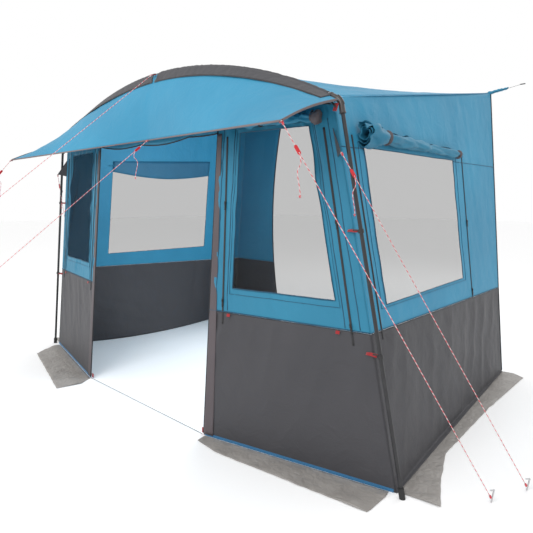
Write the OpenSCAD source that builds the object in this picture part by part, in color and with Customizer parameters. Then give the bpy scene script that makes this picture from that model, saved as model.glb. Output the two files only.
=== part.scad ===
// Tunnel awning tent: one arched pole across the front, a canopy ahead of it, two
// leaning side walls, a three-sided front with a doorway, and an open rear edge that
// is strapped to a vehicle. +X is right, +Y is back, +Z is up, in millimetres.
// The origin is the centre of the footprint, on the ground.

/* [Overall] */
// Height of the top of the arch above the ground
apex_h = 2100; // [1950:10:2200]
// Depth from the front arch to the open rear edge
depth = 2040; // [1700:10:2400]
// Half of the width between the two feet of the arch
foot_half = 1769; // [1700:1:1900]
// Half of the width across the upper ends of the elbows
elbow_half = 1341; // [1280:1:1400]
// Height of the upper ends of the elbows
elbow_h = 1788; // [1740:1:1820]
// Half of the width of the rear edge at the ground
rear_foot_half = 1512; // [1420:1:1640]
// Half of the width of the rear edge at the roof
rear_top_half = 1308; // [1250:1:1400]
// Height of the flat rear edge of the roof
rear_h = 2108; // [2000:1:2200]

/* [Frame] */
// Outside radius of the poles
pole_r = 9; // [8:0.5:11]
// Wall of the poles
pole_wall = 1; // [0.8:0.1:1.5]
// Length of each swaged pole end that slides into the next pole
spigot_l = 60; // [40:1:90]
// Radial clearance of a spigot in its pole, and of a pole in its elbow
fit_gap = 0.3; // [0.1:0.05:0.5]
// Wall of the moulded elbows and of the foot caps
elbow_wall = 4.5; // [3:0.5:6]
// Depth of the sockets in the elbows
socket_l = 32; // [26:1:40]
// Distance from the elbow's corner to the start of its bend
elbow_bend = 30; // [26:1:36]
// Height of the joint between the upper and the lower leg
leg_joint_h = 880; // [800:10:1000]
// Half of the angle that the middle section of the arch takes
arch_mid_angle = 9; // [6:0.5:12]
// Height of the rubber foot caps
foot_cap_h = 46; // [30:1:60]

/* [Fabric] */
// Thickness of the sewn fabric panels
cloth = 1.5; // [1:0.1:3]
// Gap from the leg poles in to the side walls, at the ground
wall_in = 40; // [32:1:60]
// How far the door posts stand ahead of the arch, at the ground
bay_out = 221; // [150:1:260]
// How far the tops of the door posts stand ahead of the arch
bay_top_out = 70; // [50:1:100]
// Half of the width of the doorway at the ground
door_half = 658; // [560:1:720]
// Half of the width of the doorway at its top
door_top_half = 640; // [560:1:700]
// Height of the doorway
door_h = 1690; // [1600:1:1740]
// Height of the grey lower panels at the front
base_h = 710; // [600:1:760]
// Height of the grey lower panels at the rear edge
base_rear_h = 650; // [580:1:700]
// How far the right lower panel bellies in at the ground
belly_right = 20; // [0:1:60]
// How far the left lower panel bellies in at the ground
belly_left = 240; // [0:1:260]
// Half of the width left open beside the rear flap, at its middle
flap_in = 900; // [840:1:1200]
// How far the edge of the rear flap bows in at its top and foot
flap_bow = 120; // [0:1:160]
// How far the canopy's tips reach ahead of the arch
canopy_out = 412; // [300:1:440]
// Half of the width between the canopy's tips
tip_half = 1407; // [1360:1:1460]
// Height of the canopy's tips
tip_h = 1624; // [1560:1:1660]
// How far the middle of the canopy's hem stands ahead of the arch
hem_mid_out = 95; // [80:1:160]
// Height of the middle of the canopy's hem
hem_mid_h = 1688; // [1660:1:1740]
// Width of the grey sleeve on the canopy
sleeve_w = 75; // [60:1:90]
// Half of the width of the notch in the middle of the sleeve
notch_half = 30; // [20:1:50]

/* [Windows] */
// Thickness of the window film
film = 1; // [0.5:0.1:1.5]
// Width of the panel from the door edge to a front window
front_win_in = 155; // [140:1:200]
// Width of the panel from a front window to the corner
front_win_out = 155; // [140:1:200]
// Height of the sill of the front windows
front_sill = 845; // [800:1:900]
// Height of the head of the front windows
front_head = 1664; // [1580:1:1670]
// Height of the sill of the side windows
side_sill = 815; // [790:1:900]
// Height of the head of the side windows
side_head = 1566; // [1480:1:1600]
// Distance from the arch back to the right window
right_win_start = 205; // [150:1:260]
// Length of the right window
right_win_l = 1070; // [900:1:1200]
// Distance from the arch back to the left window
left_win_start = 440; // [300:1:500]
// Length of the left window
left_win_l = 1100; // [900:1:1200]
// Radius of the rolled window covers at their front ends
roll_r1 = 46; // [35:1:55]
// Radius of the rolled window covers at their rear ends
roll_r2 = 29; // [22:1:35]

/* [Zips] */
// Distance from the edges of a front panel to its zips, at the ground
zip_in = 108; // [90:1:130]
// Distance from the arch back to the rear zip in the right wall
side_zip_y = 1426; // [1300:1:1600]
// Distance from the arch back to the front zip in the right wall
front_side_zip_y = 120; // [80:1:160]
// Height of the lower ends of the zips
zip_z0 = 645; // [600:1:700]
// Height of the upper ends of the zips
zip_z1 = 1650; // [1550:1:1660]
// Width of the zip tapes
zip_w = 22; // [16:1:28]
// Thickness of the zip tapes
zip_t = 1; // [0.8:0.1:1.5]
// Width of the row of zip teeth
chain_w = 6; // [4:0.5:8]
// Height of the zip teeth above their tape
chain_t = 1.6; // [1:0.1:2.5]
// Clearance between a zip and its slider
slider_gap = 0.5; // [0.3:0.1:1]
// Length of the pull on each slider
pull_l = 34; // [25:1:45]

/* [Ground] */
// Width of the mud skirts at their widest
skirt_w = 190; // [150:1:220]
// Thickness of the mud skirts
skirt_t = 2; // [1.5:0.1:3]
// Gap between the foot of a wall and its skirt
skirt_gap = 4; // [3:0.5:6]
// Width of the blue tape along the feet of the panels
hem_tape_w = 16; // [10:1:24]
// Reach of the skirts ahead of the arch
front_reach = 490; // [470:1:500]
// Length of the straps at the rear corners
rear_strap_l = 250; // [150:1:300]

/* [Guy ropes] */
// Diameter of the guy ropes
rope_d = 3.5; // [3:0.1:4]
// Radial clearance of a rope in its runner
runner_gap = 0.4; // [0.2:0.1:0.8]
// Length of a runner
runner_l = 42; // [30:1:50]
// Diameter of the pegs
peg_d = 7; // [5:0.5:9]
// Height of the pegs above the ground
peg_h = 60; // [40:1:90]

/* [Hidden] */

sky = "skyblue";
grey = "dimgray";
black = "#202124";
red = "crimson";

arch_y = -(depth + rear_strap_l - front_reach) / 2;
rear_y = arch_y + depth;
arch_rise = apex_h - elbow_h;
arch_r = (elbow_half * elbow_half + arch_rise * arch_rise) / (2 * arch_rise);
arch_zc = apex_h - arch_r;
arch_end = asin(elbow_half / arch_r);
// The corner of the elbow lies on the arch's tangent
elbow_reach = elbow_bend + socket_l;
corner = [elbow_half + elbow_reach * cos(arch_end), elbow_h - elbow_reach * sin(arch_end)];
leg_tilt = atan((foot_half - corner[0]) / corner[1]);
leg_dir = [sin(leg_tilt), 0, -cos(leg_tilt)];
arch_dir = [cos(arch_end), 0, -sin(arch_end)];
corner3 = [corner[0], arch_y, corner[1]];
elbow_turn = 90 - arch_end - leg_tilt;
bend_r = elbow_bend / tan(elbow_turn / 2);
wall_front_y = arch_y + 18;

function unit(v) = v / norm(v);
function mix(a, b, t) = a * (1 - t) + b * t;
function leg_at(z) = [foot_half - z * tan(leg_tilt), arch_y, z];
function arch_at(angle, r = arch_r) = [r * sin(angle), arch_y, arch_zc + r * cos(angle)];
function arch_z(x) = arch_zc + sqrt(arch_r * arch_r - x * x);

// Half width of the side walls at a distance s along the depth and a height z
function wall_front_x(z) = foot_half - wall_in
    - (foot_half - wall_in - elbow_half) * z / elbow_h;
function wall_rear_x(z) = rear_foot_half - (rear_foot_half - rear_top_half) * z / rear_h;
function along(y) = (y - wall_front_y) / (rear_y - wall_front_y);
function wall_x(y, z) = mix(wall_front_x(z), wall_rear_x(z), along(y));
function wall_at(y, z) = [wall_x(y, z), y, z];
function wall_top_z(y) = mix(elbow_h, rear_h, along(y)) - 4;
function seam_z(y) = mix(base_h, base_rear_h, along(y));

// Edges of the front panels: the door post and the corner by the leg
function post_at(z) = [
    mix(door_half, door_top_half, z / door_h),
    arch_y - mix(bay_out, bay_top_out, z / door_h),
    z
];
function corner_at(z) = [wall_front_x(z), wall_front_y - 2, z];
function facet_at(u, z) = mix(post_at(z), corner_at(z), u);
function facet_w(z) = norm(corner_at(z) - post_at(z));
// The top edge of a front panel follows the arch just under its sleeve
function facet_top(u) = let (x = mix(door_top_half - 15, elbow_half - 2, u))
    [x, mix(arch_y, wall_front_y - 2, u), arch_z(x) - 16];

// Canopy surface: u runs across from -1 to 1, v down from the arch to the hem
function canopy_top(u) = arch_at(u * (arch_end + 1.2)) + [0, -18, 0];
function canopy_hem(u) = [
    tip_half * u,
    arch_y - mix(hem_mid_out, canopy_out, pow(abs(u), 1.15)),
    mix(hem_mid_h, tip_h, pow(abs(u), 1.15))
];
function canopy_at(u, v) = mix(canopy_top(u), canopy_hem(u), v)
    + [0, -20, 26] * sin(180 * v) * (1 - 0.6 * abs(u));

// Outward normal of a grid of points at one of its points
function grid_normal(g, i, j) = unit(cross(
    g[min(i + 1, len(g) - 1)][j] - g[max(i - 1, 0)][j],
    g[i][min(j + 1, len(g[0]) - 1)] - g[i][max(j - 1, 0)]
));
function in_hole(h, i, j) = i >= h[0] && i < h[1] && j >= h[2] && j < h[3];
function kept(n, m, holes, i, j) = i >= 0 && i < n && j >= 0 && j < m
    && len([for (h = holes) if (in_hole(h, i, j)) 1]) == 0;

// Closed sheet of thickness t behind a grid of points, less the cells in holes.
// Seen from outside, the first index runs to the right and the second runs up.
// It lies a distance back behind the points.
module sheet(g, t, holes = [], back = 0) {
    n = len(g) - 1;
    m = len(g[0]) - 1;
    outer = [for (i = [0:n], j = [0:m]) g[i][j] - back * grid_normal(g, i, j)];
    inner = [for (i = [0:n], j = [0:m]) g[i][j] - (back + t) * grid_normal(g, i, j)];
    half = (n + 1) * (m + 1);
    function id(i, j) = i * (m + 1) + j;
    function wall(a, b) = [[a, b, b + half], [a, b + half, a + half]];
    faces = [
        for (i = [0:n - 1], j = [0:m - 1]) if (kept(n, m, holes, i, j)) let (
            a = id(i, j),
            b = id(i, j + 1),
            c = id(i + 1, j + 1),
            d = id(i + 1, j)
        ) each concat(
            [[a, b, c], [a, c, d]],
            [[a + half, c + half, b + half], [a + half, d + half, c + half]],
            kept(n, m, holes, i, j - 1) ? [] : wall(a, d),
            kept(n, m, holes, i, j + 1) ? [] : wall(c, b),
            kept(n, m, holes, i - 1, j) ? [] : wall(b, a),
            kept(n, m, holes, i + 1, j) ? [] : wall(d, c)
        )
    ];
    polyhedron(concat(outer, inner), faces);
}

// Puts children at o with their X along x and their Z as near n as it can be
module place(o, x, n) {
    ux = unit(x);
    uz = unit(n - (n * ux) * ux);
    uy = cross(uz, ux);
    multmatrix([
        [ux[0], uy[0], uz[0], o[0]],
        [ux[1], uy[1], uz[1], o[1]],
        [ux[2], uy[2], uz[2], o[2]],
        [0, 0, 0, 1]
    ]) children();
}

// Flat strip from a to b, w wide and t thick, standing up from the line along n
module strip(a, b, n, w, t) {
    place(a, b - a, n) translate([0, -w / 2, 0]) cube([norm(b - a), w, t]);
}

// Round bar or tube from a to b
module rod(a, b, r, bore = 0) {
    side = abs(unit(b - a)[1]) < 0.9 ? [0, 1, 0] : [1, 0, 0];
    place(a, b - a, side) rotate([0, 90, 0]) difference() {
        cylinder(r = r, h = norm(b - a), $fn = 32);
        if (bore > 0) translate([0, 0, -1]) cylinder(r = bore, h = norm(b - a) + 2, $fn = 32);
    }
}

// Arc of tube on the arch between two angles from the top, clockwise from the front
module arch_tube(a, b, r, bore = 0) {
    translate([0, arch_y, arch_zc]) rotate([90, 0, 0]) rotate([0, 0, 90 - b])
        rotate_extrude(angle = b - a, $fn = 360) translate([arch_r, 0]) difference() {
            circle(r = r, $fn = 32);
            if (bore > 0) circle(r = bore, $fn = 32);
        }
}

module both_sides() {
    children();
    mirror([1, 0, 0]) children();
}

// ---- Poles ----

module leg_upper() {
    difference() {
        rod(corner3 + leg_dir * (elbow_bend + 4), leg_at(leg_joint_h), pole_r);
        rod(
            corner3 + leg_dir * (elbow_bend + 3),
            leg_at(leg_joint_h - 2),
            pole_r - pole_wall
        );
    }
}
module leg_upper_right() color(black) leg_upper();
module leg_upper_left() color(black) mirror([1, 0, 0]) leg_upper();

module leg_lower() {
    foot_in = 10;
    spigot_r = pole_r - pole_wall - fit_gap;
    difference() {
        union() {
            rod(leg_at(leg_joint_h - 0.5), leg_at(foot_in), pole_r);
            rod(leg_at(leg_joint_h + spigot_l), leg_at(leg_joint_h - 20), spigot_r);
        }
        rod(leg_at(leg_joint_h + spigot_l + 5), leg_at(5), spigot_r - pole_wall);
    }
}
module leg_lower_right() color(black) leg_lower();
module leg_lower_left() color(black) mirror([1, 0, 0]) leg_lower();

// Moulded elbow: two blind sockets joined by a solid bend, with a rib on its back
module elbow() {
    socket_r = pole_r + fit_gap + elbow_wall;
    floor_t = 2;
    lap_l = 4;
    collar_l = 6;
    mouth = socket_l + 1;
    arch_side = corner3 - arch_dir * elbow_bend;
    leg_side = corner3 + leg_dir * elbow_bend;
    centre = arch_side + bend_r * [-sin(arch_end), 0, -cos(arch_end)];
    difference() {
        union() {
            for (w = [[arch_side, -arch_dir], [leg_side, leg_dir]]) {
                rod(w[0] - w[1] * lap_l, w[0] + w[1] * socket_l, socket_r);
                rod(
                    w[0] + w[1] * (socket_l - collar_l),
                    w[0] + w[1] * socket_l,
                    socket_r + 1.5
                );
            }
            translate(centre) rotate([90, 0, 0]) rotate([0, 0, leg_tilt]) {
                rotate_extrude(angle = elbow_turn, $fn = 96)
                    translate([bend_r, 0]) circle(r = socket_r - 1, $fn = 32);
                rotate([0, 0, 4]) rotate_extrude(angle = elbow_turn - 8, $fn = 96)
                    translate([bend_r + socket_r - 5, -2]) square([8, 4]);
            }
        }
        rod(arch_side - arch_dir * floor_t, arch_side - arch_dir * mouth, pole_r + fit_gap);
        rod(leg_side + leg_dir * floor_t, leg_side + leg_dir * mouth, pole_r + fit_gap);
    }
}
module elbow_right() color(grey) elbow();
module elbow_left() color(grey) mirror([1, 0, 0]) elbow();

module arch_middle() color("silver") {
    reach = arch_mid_angle + spigot_l / arch_r * 180 / PI;
    spigot_r = pole_r - pole_wall - fit_gap;
    difference() {
        union() {
            arch_tube(-arch_mid_angle, arch_mid_angle, pole_r);
            arch_tube(-reach, reach, spigot_r);
        }
        arch_tube(-reach - 0.1, reach + 0.1, spigot_r - pole_wall);
    }
}
module arch_side() {
    joint_gap = 0.01;
    socket_angle = (socket_l - 4) / arch_r * 180 / PI;
    arch_tube(arch_mid_angle + joint_gap, arch_end + socket_angle, pole_r, pole_r - pole_wall);
}
module arch_right() color("silver") arch_side();
module arch_left() color("silver") mirror([1, 0, 0]) arch_side();

// Rubber caps that stand flat on the ground under the leaning legs
module foot_caps() color(black) both_sides() {
    cap_r = pole_r + fit_gap + elbow_wall;
    floor_t = 8;
    difference() {
        rod(leg_at(-20), leg_at(foot_cap_h), cap_r);
        rod(leg_at(floor_t), leg_at(foot_cap_h + 2), pole_r + fit_gap);
        translate([foot_half - 60, arch_y - 60, -60]) cube([120, 120, 60]);
    }
}

// ---- Roof, sleeve, canopy and doorway ----

module roof() color(sky) {
    across = 20;
    back = 8;
    sag = 16;
    sheet([
        for (i = [0:across]) let (a = i / across * 2 - 1) [
            for (j = [0:back]) let (
                t = j / back,
                front = arch_at(a * arch_end) + [0, 17, 0],
                rear = [rear_top_half * sin(a * arch_end) / sin(arch_end), rear_y, rear_h]
            ) mix(front, rear, t) - [0, 0, sag * sin(180 * t) * (1 - a * a)]
        ]
    ], cloth);
}

// Pole pocket with a flange over the canopy, notched in the middle for the top guy
module arch_sleeve() color(grey) {
    ring_r = pole_r + 2.5;
    notch = notch_half / arch_r * 180 / PI;
    end_back = 26 / arch_r * 180 / PI;
    for (s = [-1, 1]) {
        a = s < 0 ? -arch_end + end_back : notch;
        b = s < 0 ? -notch : arch_end - end_back;
        arch_tube(a, b, ring_r, pole_r + 0.8);
    }
    u_notch = notch_half / elbow_half;
    u_end = 0.965;
    us = concat(
        [for (k = [0:9]) mix(-u_end, -u_notch, k / 9)],
        [for (k = [0:9]) mix(u_notch, u_end, k / 9)]
    );
    sheet([
        for (u = us) [
            for (w = [sleeve_w, sleeve_w / 2, 2])
                canopy_at(u, w / norm(canopy_hem(u) - canopy_top(u))) + [0, -3.2, 3.2]
        ]
    ], cloth, [[9, 10, 1, 2]]);
}

module canopy() color(sky) {
    across = 20;
    down = 6;
    sheet([
        for (i = [0:across]) [
            for (j = [0:down]) canopy_at(i / across * 2 - 1, mix(1, 0.01, j / down))
        ]
    ], cloth);
}

// Panel above the doorway, up to the arch, with a lower edge that hangs a little
module door_header() color(sky) {
    across = 8;
    sheet([
        for (i = [0:across]) let (a = i / across * 2 - 1, edge = post_at(door_h)) [
            [a * (door_top_half - 2), edge[1], door_h - 22 * (1 - a * a)],
            [
                a * (door_top_half - 10),
                mix(edge[1], arch_y, 0.5),
                mix(door_h, arch_z(a * door_top_half), 0.5)
            ],
            [a * (door_top_half - 17), arch_y, arch_z(a * door_top_half) - 16]
        ]
    ], cloth);
}

// ---- Front panels ----

front_z = [base_h, front_sill, mix(front_sill, front_head, 1 / 3),
    mix(front_sill, front_head, 2 / 3), front_head, door_h];
function front_us(z) = let (
    a = front_win_in / facet_w(z),
    b = 1 - front_win_out / facet_w(z)
) [0, a, mix(a, b, 1 / 3), mix(a, b, 2 / 3), b, 1];
front_grid = [
    for (i = [0:5]) concat(
        [for (z = front_z) facet_at(front_us(z)[i], z)],
        [facet_top(front_us(door_h)[i])]
    )
];
front_win_grid = [for (i = [1:4]) [for (j = [1:4]) front_grid[i][j]]];
module front_upper() sheet(front_grid, cloth, [[1, 4, 1, 4]]);
module front_right() color(sky) front_upper();
module front_left() color(sky) mirror([1, 0, 0]) front_upper();
lap = cloth + 0.3;
module window_front() color("white", 0.5) sheet(front_win_grid, film, back = lap);
module mesh_window() color("#2b3138") mirror([1, 0, 0])
    sheet(front_win_grid, film, back = lap);

module front_base() {
    rows = [2, base_h / 2, base_h - 1];
    sheet([for (i = [0:4]) [for (z = rows) facet_at(i / 4, z)]], cloth);
}
module front_base_right() color(grey) front_base();
module front_base_left() color(grey) mirror([1, 0, 0]) front_base();

// ---- Side walls ----

function side_ys(start, l) = [0, start, start + l / 3, start + l * 2 / 3, start + l,
    max(start + l + 60, side_zip_y), depth];
function side_z(y) = [seam_z(y), side_sill, mix(side_sill, side_head, 0.5), side_head,
    wall_top_z(y)];
function side_grid(start, l) = [
    for (d = side_ys(start, l)) let (y = max(wall_front_y, arch_y + d)) [
        for (z = side_z(y)) wall_at(y, z)
    ]
];
function side_win_grid(start, l) = let (g = side_grid(start, l))
    [for (i = [1:4]) [for (j = [1:3]) g[i][j]]];
module side_upper(start, l) sheet(side_grid(start, l), cloth, [[1, 4, 1, 3]]);
module wall_right() color(sky) side_upper(right_win_start, right_win_l);
module wall_left() color(sky) mirror([1, 0, 0]) {
    side_upper(left_win_start, left_win_l);
    rear_flap(base_rear_h, rear_h - 4);
}

// Part of the flap that closes the left of the rear opening, from z0 up to z1
function flap_x(z) = flap_in - flap_bow * pow(2 * z / rear_h - 1, 2);
module rear_flap(z0, z1) {
    rows = 6;
    sheet([
        for (i = [0:4]) [
            for (k = [0:rows]) let (z = mix(z0, z1, k / rows))
                [mix(wall_rear_x(z) - 4, flap_x(z), i / 4), rear_y - 6, z]
        ]
    ], cloth);
}
module window_right() color("white", 0.5)
    sheet(side_win_grid(right_win_start, right_win_l), film, back = lap);
module window_left() color("white", 0.5) mirror([1, 0, 0])
    sheet(side_win_grid(left_win_start, left_win_l), film, back = lap);

// How far the foot of a lower side panel is pulled in from the straight line
function belly_at(s, belly) = belly * sin(180 * pow(s, 0.75));
module side_base(belly) {
    n = 10;
    sheet([
        for (i = [0:n]) let (y = mix(wall_front_y, rear_y, i / n)) [
            for (k = [0:3]) let (z = mix(1, seam_z(y) - 1, k / 3))
                wall_at(y, z) - [belly_at(i / n, belly) * pow(1 - k / 3, 1.4), 0, 0]
        ]
    ], cloth);
    // The foot runs out along the ground to the line that the skirt turns about
    linear_extrude(height = skirt_t) polygon(concat(
        [for (i = [0:n]) let (y = mix(wall_front_y, rear_y, i / n))
            [wall_x(y, 0) - belly_at(i / n, belly) - cloth, y]],
        [for (i = [n:-1:0]) let (y = mix(wall_front_y, rear_y, i / n))
            [wall_x(y, 0) + 0.5, y]]
    ));
}
module wall_base_right() color(grey) side_base(belly_right);
module wall_base_left() color(grey) mirror([1, 0, 0]) {
    side_base(belly_left);
    rear_flap(skirt_t + 1, base_rear_h - 1);
}

// ---- Rolled window covers ----

// A roll of cover above a side window, held by two loops of webbing
module side_roll(start, l) {
    a = wall_at(arch_y + start - 40, side_head + 62) + [roll_r1 + 3, 0, 0];
    b = wall_at(arch_y + start + l + 60, side_head + 36) + [roll_r2 + 3, 0, 0];
    place(a, b - a, [0, 0, 1]) rotate([0, 90, 0])
        cylinder(r1 = roll_r1, r2 = roll_r2, h = norm(b - a), $fn = 32);
}
module cover_right() color("steelblue") side_roll(right_win_start, right_win_l);
module cover_left() color("steelblue") mirror([1, 0, 0])
    side_roll(left_win_start, left_win_l);
module cover_front() color("steelblue") {
    z = front_head + 44;
    u = front_us(front_head);
    r = roll_r1 - 12;
    rod(facet_at(u[1] + 0.02, z) + [0, -r - 3, 0], facet_at(u[4] + 0.12, z - 12) + [0, -r - 3, 0], r);
}

// ---- Skirts and hem tape ----

// Hinge lines of the skirts at the feet of the panels
side_hinge = [[foot_half - wall_in + skirt_gap, wall_front_y],
    [rear_foot_half + skirt_gap, rear_y]];
front_out = unit([corner_at(0)[1] - post_at(0)[1], post_at(0)[0] - corner_at(0)[0]]);
front_hinge = [for (p = [post_at(0), corner_at(0)]) [p[0], p[1]] + skirt_gap * front_out];
side_hinge_l = norm(side_hinge[1] - side_hinge[0]);
front_hinge_l = norm(front_hinge[1] - front_hinge[0]);

// A point on the ground as its distances along and out from a hinge line
function from_hinge(h, p) = let (d = unit(h[1] - h[0]), q = p - h[0])
    [q * d, q[0] * d[1] - q[1] * d[0]];
module skirt(h, pts) {
    across = h[1] - h[0];
    place([h[0][0], h[0][1], 0], [across[0], across[1], 0], [0, 0, 1])
        linear_extrude(height = skirt_t) polygon([for (p = pts) [p[0], -p[1]]]);
}
module skirt_side() {
    leg_clear = 14;
    skirt(side_hinge, [
        [leg_clear, 0],
        [leg_clear, skirt_w],
        [237, skirt_w - 70],
        [496, skirt_w - 130],
        [1212, skirt_w - 98],
        [side_hinge_l - 60, skirt_w - 31],
        [side_hinge_l, skirt_w - 110],
        [side_hinge_l, 0]
    ]);
}
module skirt_right() color("tan") skirt_side();
module skirt_left() color("tan") mirror([1, 0, 0]) skirt_side();
module skirt_front_right() color("tan") skirt(front_hinge, [
    [12, 0],
    [12, skirt_w - 125],
    [172, skirt_w - 69],
    [front_hinge_l - 62, skirt_w + 8],
    [front_hinge_l - 32, skirt_w - 143],
    [front_hinge_l - 32, 0]
]);
module skirt_front_left() color("tan") mirror([1, 0, 0]) {
    tip = from_hinge(front_hinge, [door_half - 24, arch_y - front_reach]);
    skirt(front_hinge, [
        [0, 0],
        [tip[0] + 10, tip[1] - 156],
        tip,
        [front_hinge_l - 233, skirt_w + 34],
        [front_hinge_l - 60, skirt_w - 130],
        [front_hinge_l - 60, 0]
    ]);
}

module hem_tape() color("steelblue") both_sides() {
    up = facet_at(0.5, base_h) - facet_at(0.5, 0);
    a = facet_at(0.01, 1);
    b = facet_at(0.99, 1);
    place(a, b - a, up) translate([0, -1.8, 0]) cube([norm(b - a), 1.4, hem_tape_w]);
}

// ---- Zips and sliders ----

// Lower end, upper end and outward normal of the three kinds of zip
zip_u = zip_in / facet_w(0);
function front_zip(u) = let (a = facet_at(u, zip_z0), b = facet_at(u, zip_z1))
    [a, b, unit(cross(corner_at(1000) - post_at(1000), b - a))];
// The rear side zip stays behind the right window
rear_zip_y = max(side_zip_y, right_win_start + right_win_l + 60);
function side_zip(back = rear_zip_y) = let (
    y = arch_y + back,
    a = wall_at(y, zip_z0 + 20),
    b = wall_at(y, zip_z1 - 30)
) [a, b, unit(cross([0, 1, 0], b - a))];
in_zip = front_zip(zip_u);
out_zip = front_zip(1 - zip_u);

module zip(w, lift = 1.2) {
    place(w[0] + lift * w[2], w[1] - w[0], w[2]) {
        translate([0, -zip_w / 2, 0]) cube([norm(w[1] - w[0]), zip_w, zip_t]);
        translate([0, -chain_w / 2, 0])
            cube([norm(w[1] - w[0]), chain_w, zip_t + chain_t]);
    }
}
module front_zips() color(black) {
    zip(in_zip);
    zip(out_zip);
    mirror([1, 0, 0]) {
        zip(in_zip);
        zip(out_zip);
    }
}
module side_zips() color(black) {
    zip(side_zip());
    zip(side_zip(front_side_zip_y), 2.4);
}

// Slider over the teeth, with its pull hanging down
module slider(w, z) {
    lift = 1.2 + zip_t + slider_gap;
    o = w[0] + (w[1] - w[0]) * (z - w[0][2]) / (w[1][2] - w[0][2]);
    top_t = 2;
    body_l = 18;
    channel_w = chain_w + 2 * slider_gap;
    place(o + lift * w[2], w[1] - w[0], w[2]) {
        difference() {
            translate([-body_l / 2, -chain_w, 0])
                cube([body_l, 2 * chain_w, chain_t + slider_gap + top_t]);
            translate([-body_l / 2 - 1, -channel_w / 2, -1])
                cube([body_l + 2, channel_w, chain_t + slider_gap + 1]);
        }
        translate([-pull_l - 3, -3.5, chain_t + slider_gap + top_t - 0.5])
            cube([pull_l, 7, 1.6]);
        translate([-6, -2, chain_t + slider_gap + top_t - 1]) cube([10, 4, 4]);
    }
}
module slider_in_high() color(black) slider(in_zip, 1299);
module slider_in_low() color(black) slider(in_zip, 774);
module slider_out_high() color(black) slider(out_zip, 1214);
module slider_out_low() color(black) slider(out_zip, 735);
module slider_side_high() color(black) slider(side_zip(), 1175);
module slider_side_low() color(black) slider(side_zip(), 721);

// ---- Guy ropes ----

// Both ends of each rope: where it leaves the tent and its peg
apex_ring = [0, arch_y - 50, apex_h - 9];
top_guy = [apex_ring, [-1900, arch_y - 1985, 16]];
middle_guy = [[0, arch_y - hem_mid_out, hem_mid_h], [-500, arch_y - 1985, 16]];
tip_left_guy = [[-tip_half, arch_y - canopy_out, tip_h], [-1447, arch_y - 1773, 16]];
tip_right_guy = [[tip_half, arch_y - canopy_out, tip_h], [2065, arch_y + 245, 16]];
patch_tip = [1433, arch_y - 42, 1527];
pole_right_guy = [patch_tip, [2150, arch_y + 450, 16]];
pole_left_guy = [[-patch_tip[0], patch_tip[1], patch_tip[2]], [-2150, arch_y + 450, 16]];

module rope(ends) {
    d = ends[1] - ends[0];
    rings = 12;
    ux = unit(d);
    uy = unit(cross([0, 0, 1], ux));
    uz = cross(ux, uy);
    pts = [
        for (i = [0:rings], k = [0:7]) ends[0] + d * i / rings
            + rope_d / 2 * (uy * cos(45 * k) + uz * sin(45 * k))
    ];
    last = rings * 8;
    polyhedron(pts, concat(
        [[for (k = [0:7]) k]],
        [[for (k = [7:-1:0]) last + k]],
        [
            for (i = [0:rings - 1], k = [0:7]) let (a = i * 8 + k, b = i * 8 + (k + 1) % 8)
                [a, a + 8, b + 8, b]
        ]
    ));
}
module guy_top() color("gainsboro") rope(top_guy);
module guy_middle() color("gainsboro") rope(middle_guy);
module guy_tip_right() color("gainsboro") rope(tip_right_guy);
module guy_tip_left() color("gainsboro") rope(tip_left_guy);
module guy_pole_right() color("gainsboro") rope(pole_right_guy);
module guy_pole_left() color("gainsboro") rope(pole_left_guy);

// Tensioner threaded on a rope at a distance from the tent
module runner(ends, from) {
    half = runner_l / 2;
    r = 7;
    place(ends[0] + unit(ends[1] - ends[0]) * from, ends[1] - ends[0], [0, 0, 1])
        difference() {
            union() {
                translate([-half + r, -4, -r]) cube([runner_l - 2 * r, 8, 2 * r]);
                for (x = [-half + r, half - r])
                    translate([x, 4, 0]) rotate([90, 0, 0]) cylinder(r = r, h = 8, $fn = 32);
            }
            translate([-half - 1, 0, 0]) rotate([0, 90, 0])
                cylinder(r = rope_d / 2 + runner_gap, h = runner_l + 2, $fn = 32);
        }
}
module runner_middle() color(red) runner(middle_guy, 90);
module runner_tip_right() color(red) runner(tip_right_guy, 130);
module runner_tip_left() color(red) runner(tip_left_guy, 130);
module runner_pole_right() color(red) runner(pole_right_guy, 110);
module runner_pole_left() color(red) runner(pole_left_guy, 110);

// Peg leaning away from its rope, with a hook over the rope's end
module peg(ends) {
    foot = [ends[1][0], ends[1][1], 0];
    back = unit([ends[1][0] - ends[0][0], ends[1][1] - ends[0][1], 0]);
    head = foot + back * 10 + [0, 0, peg_h];
    difference() {
        union() {
            rod(foot - back * 2 - [0, 0, 12], head, peg_d / 2);
            rod(head - [0, 0, 3], head - back * 18 - [0, 0, 5], 3);
        }
        translate([foot[0] - 30, foot[1] - 30, -40]) cube([60, 60, 40]);
    }
}
module pegs_front() color("silver") {
    peg(top_guy);
    peg(middle_guy);
    peg(tip_left_guy);
}
module pegs_side() color("silver") {
    peg(tip_right_guy);
    peg(pole_right_guy);
    peg(pole_left_guy);
}

// ---- Cords, tabs, hooks and straps ----

module door_sill_cord() color(black) {
    z = 6;
    y = arch_y - bay_out - 4;
    rod([-door_half + 8, y, z], [door_half - 8, y, z], 1.5);
}

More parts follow.
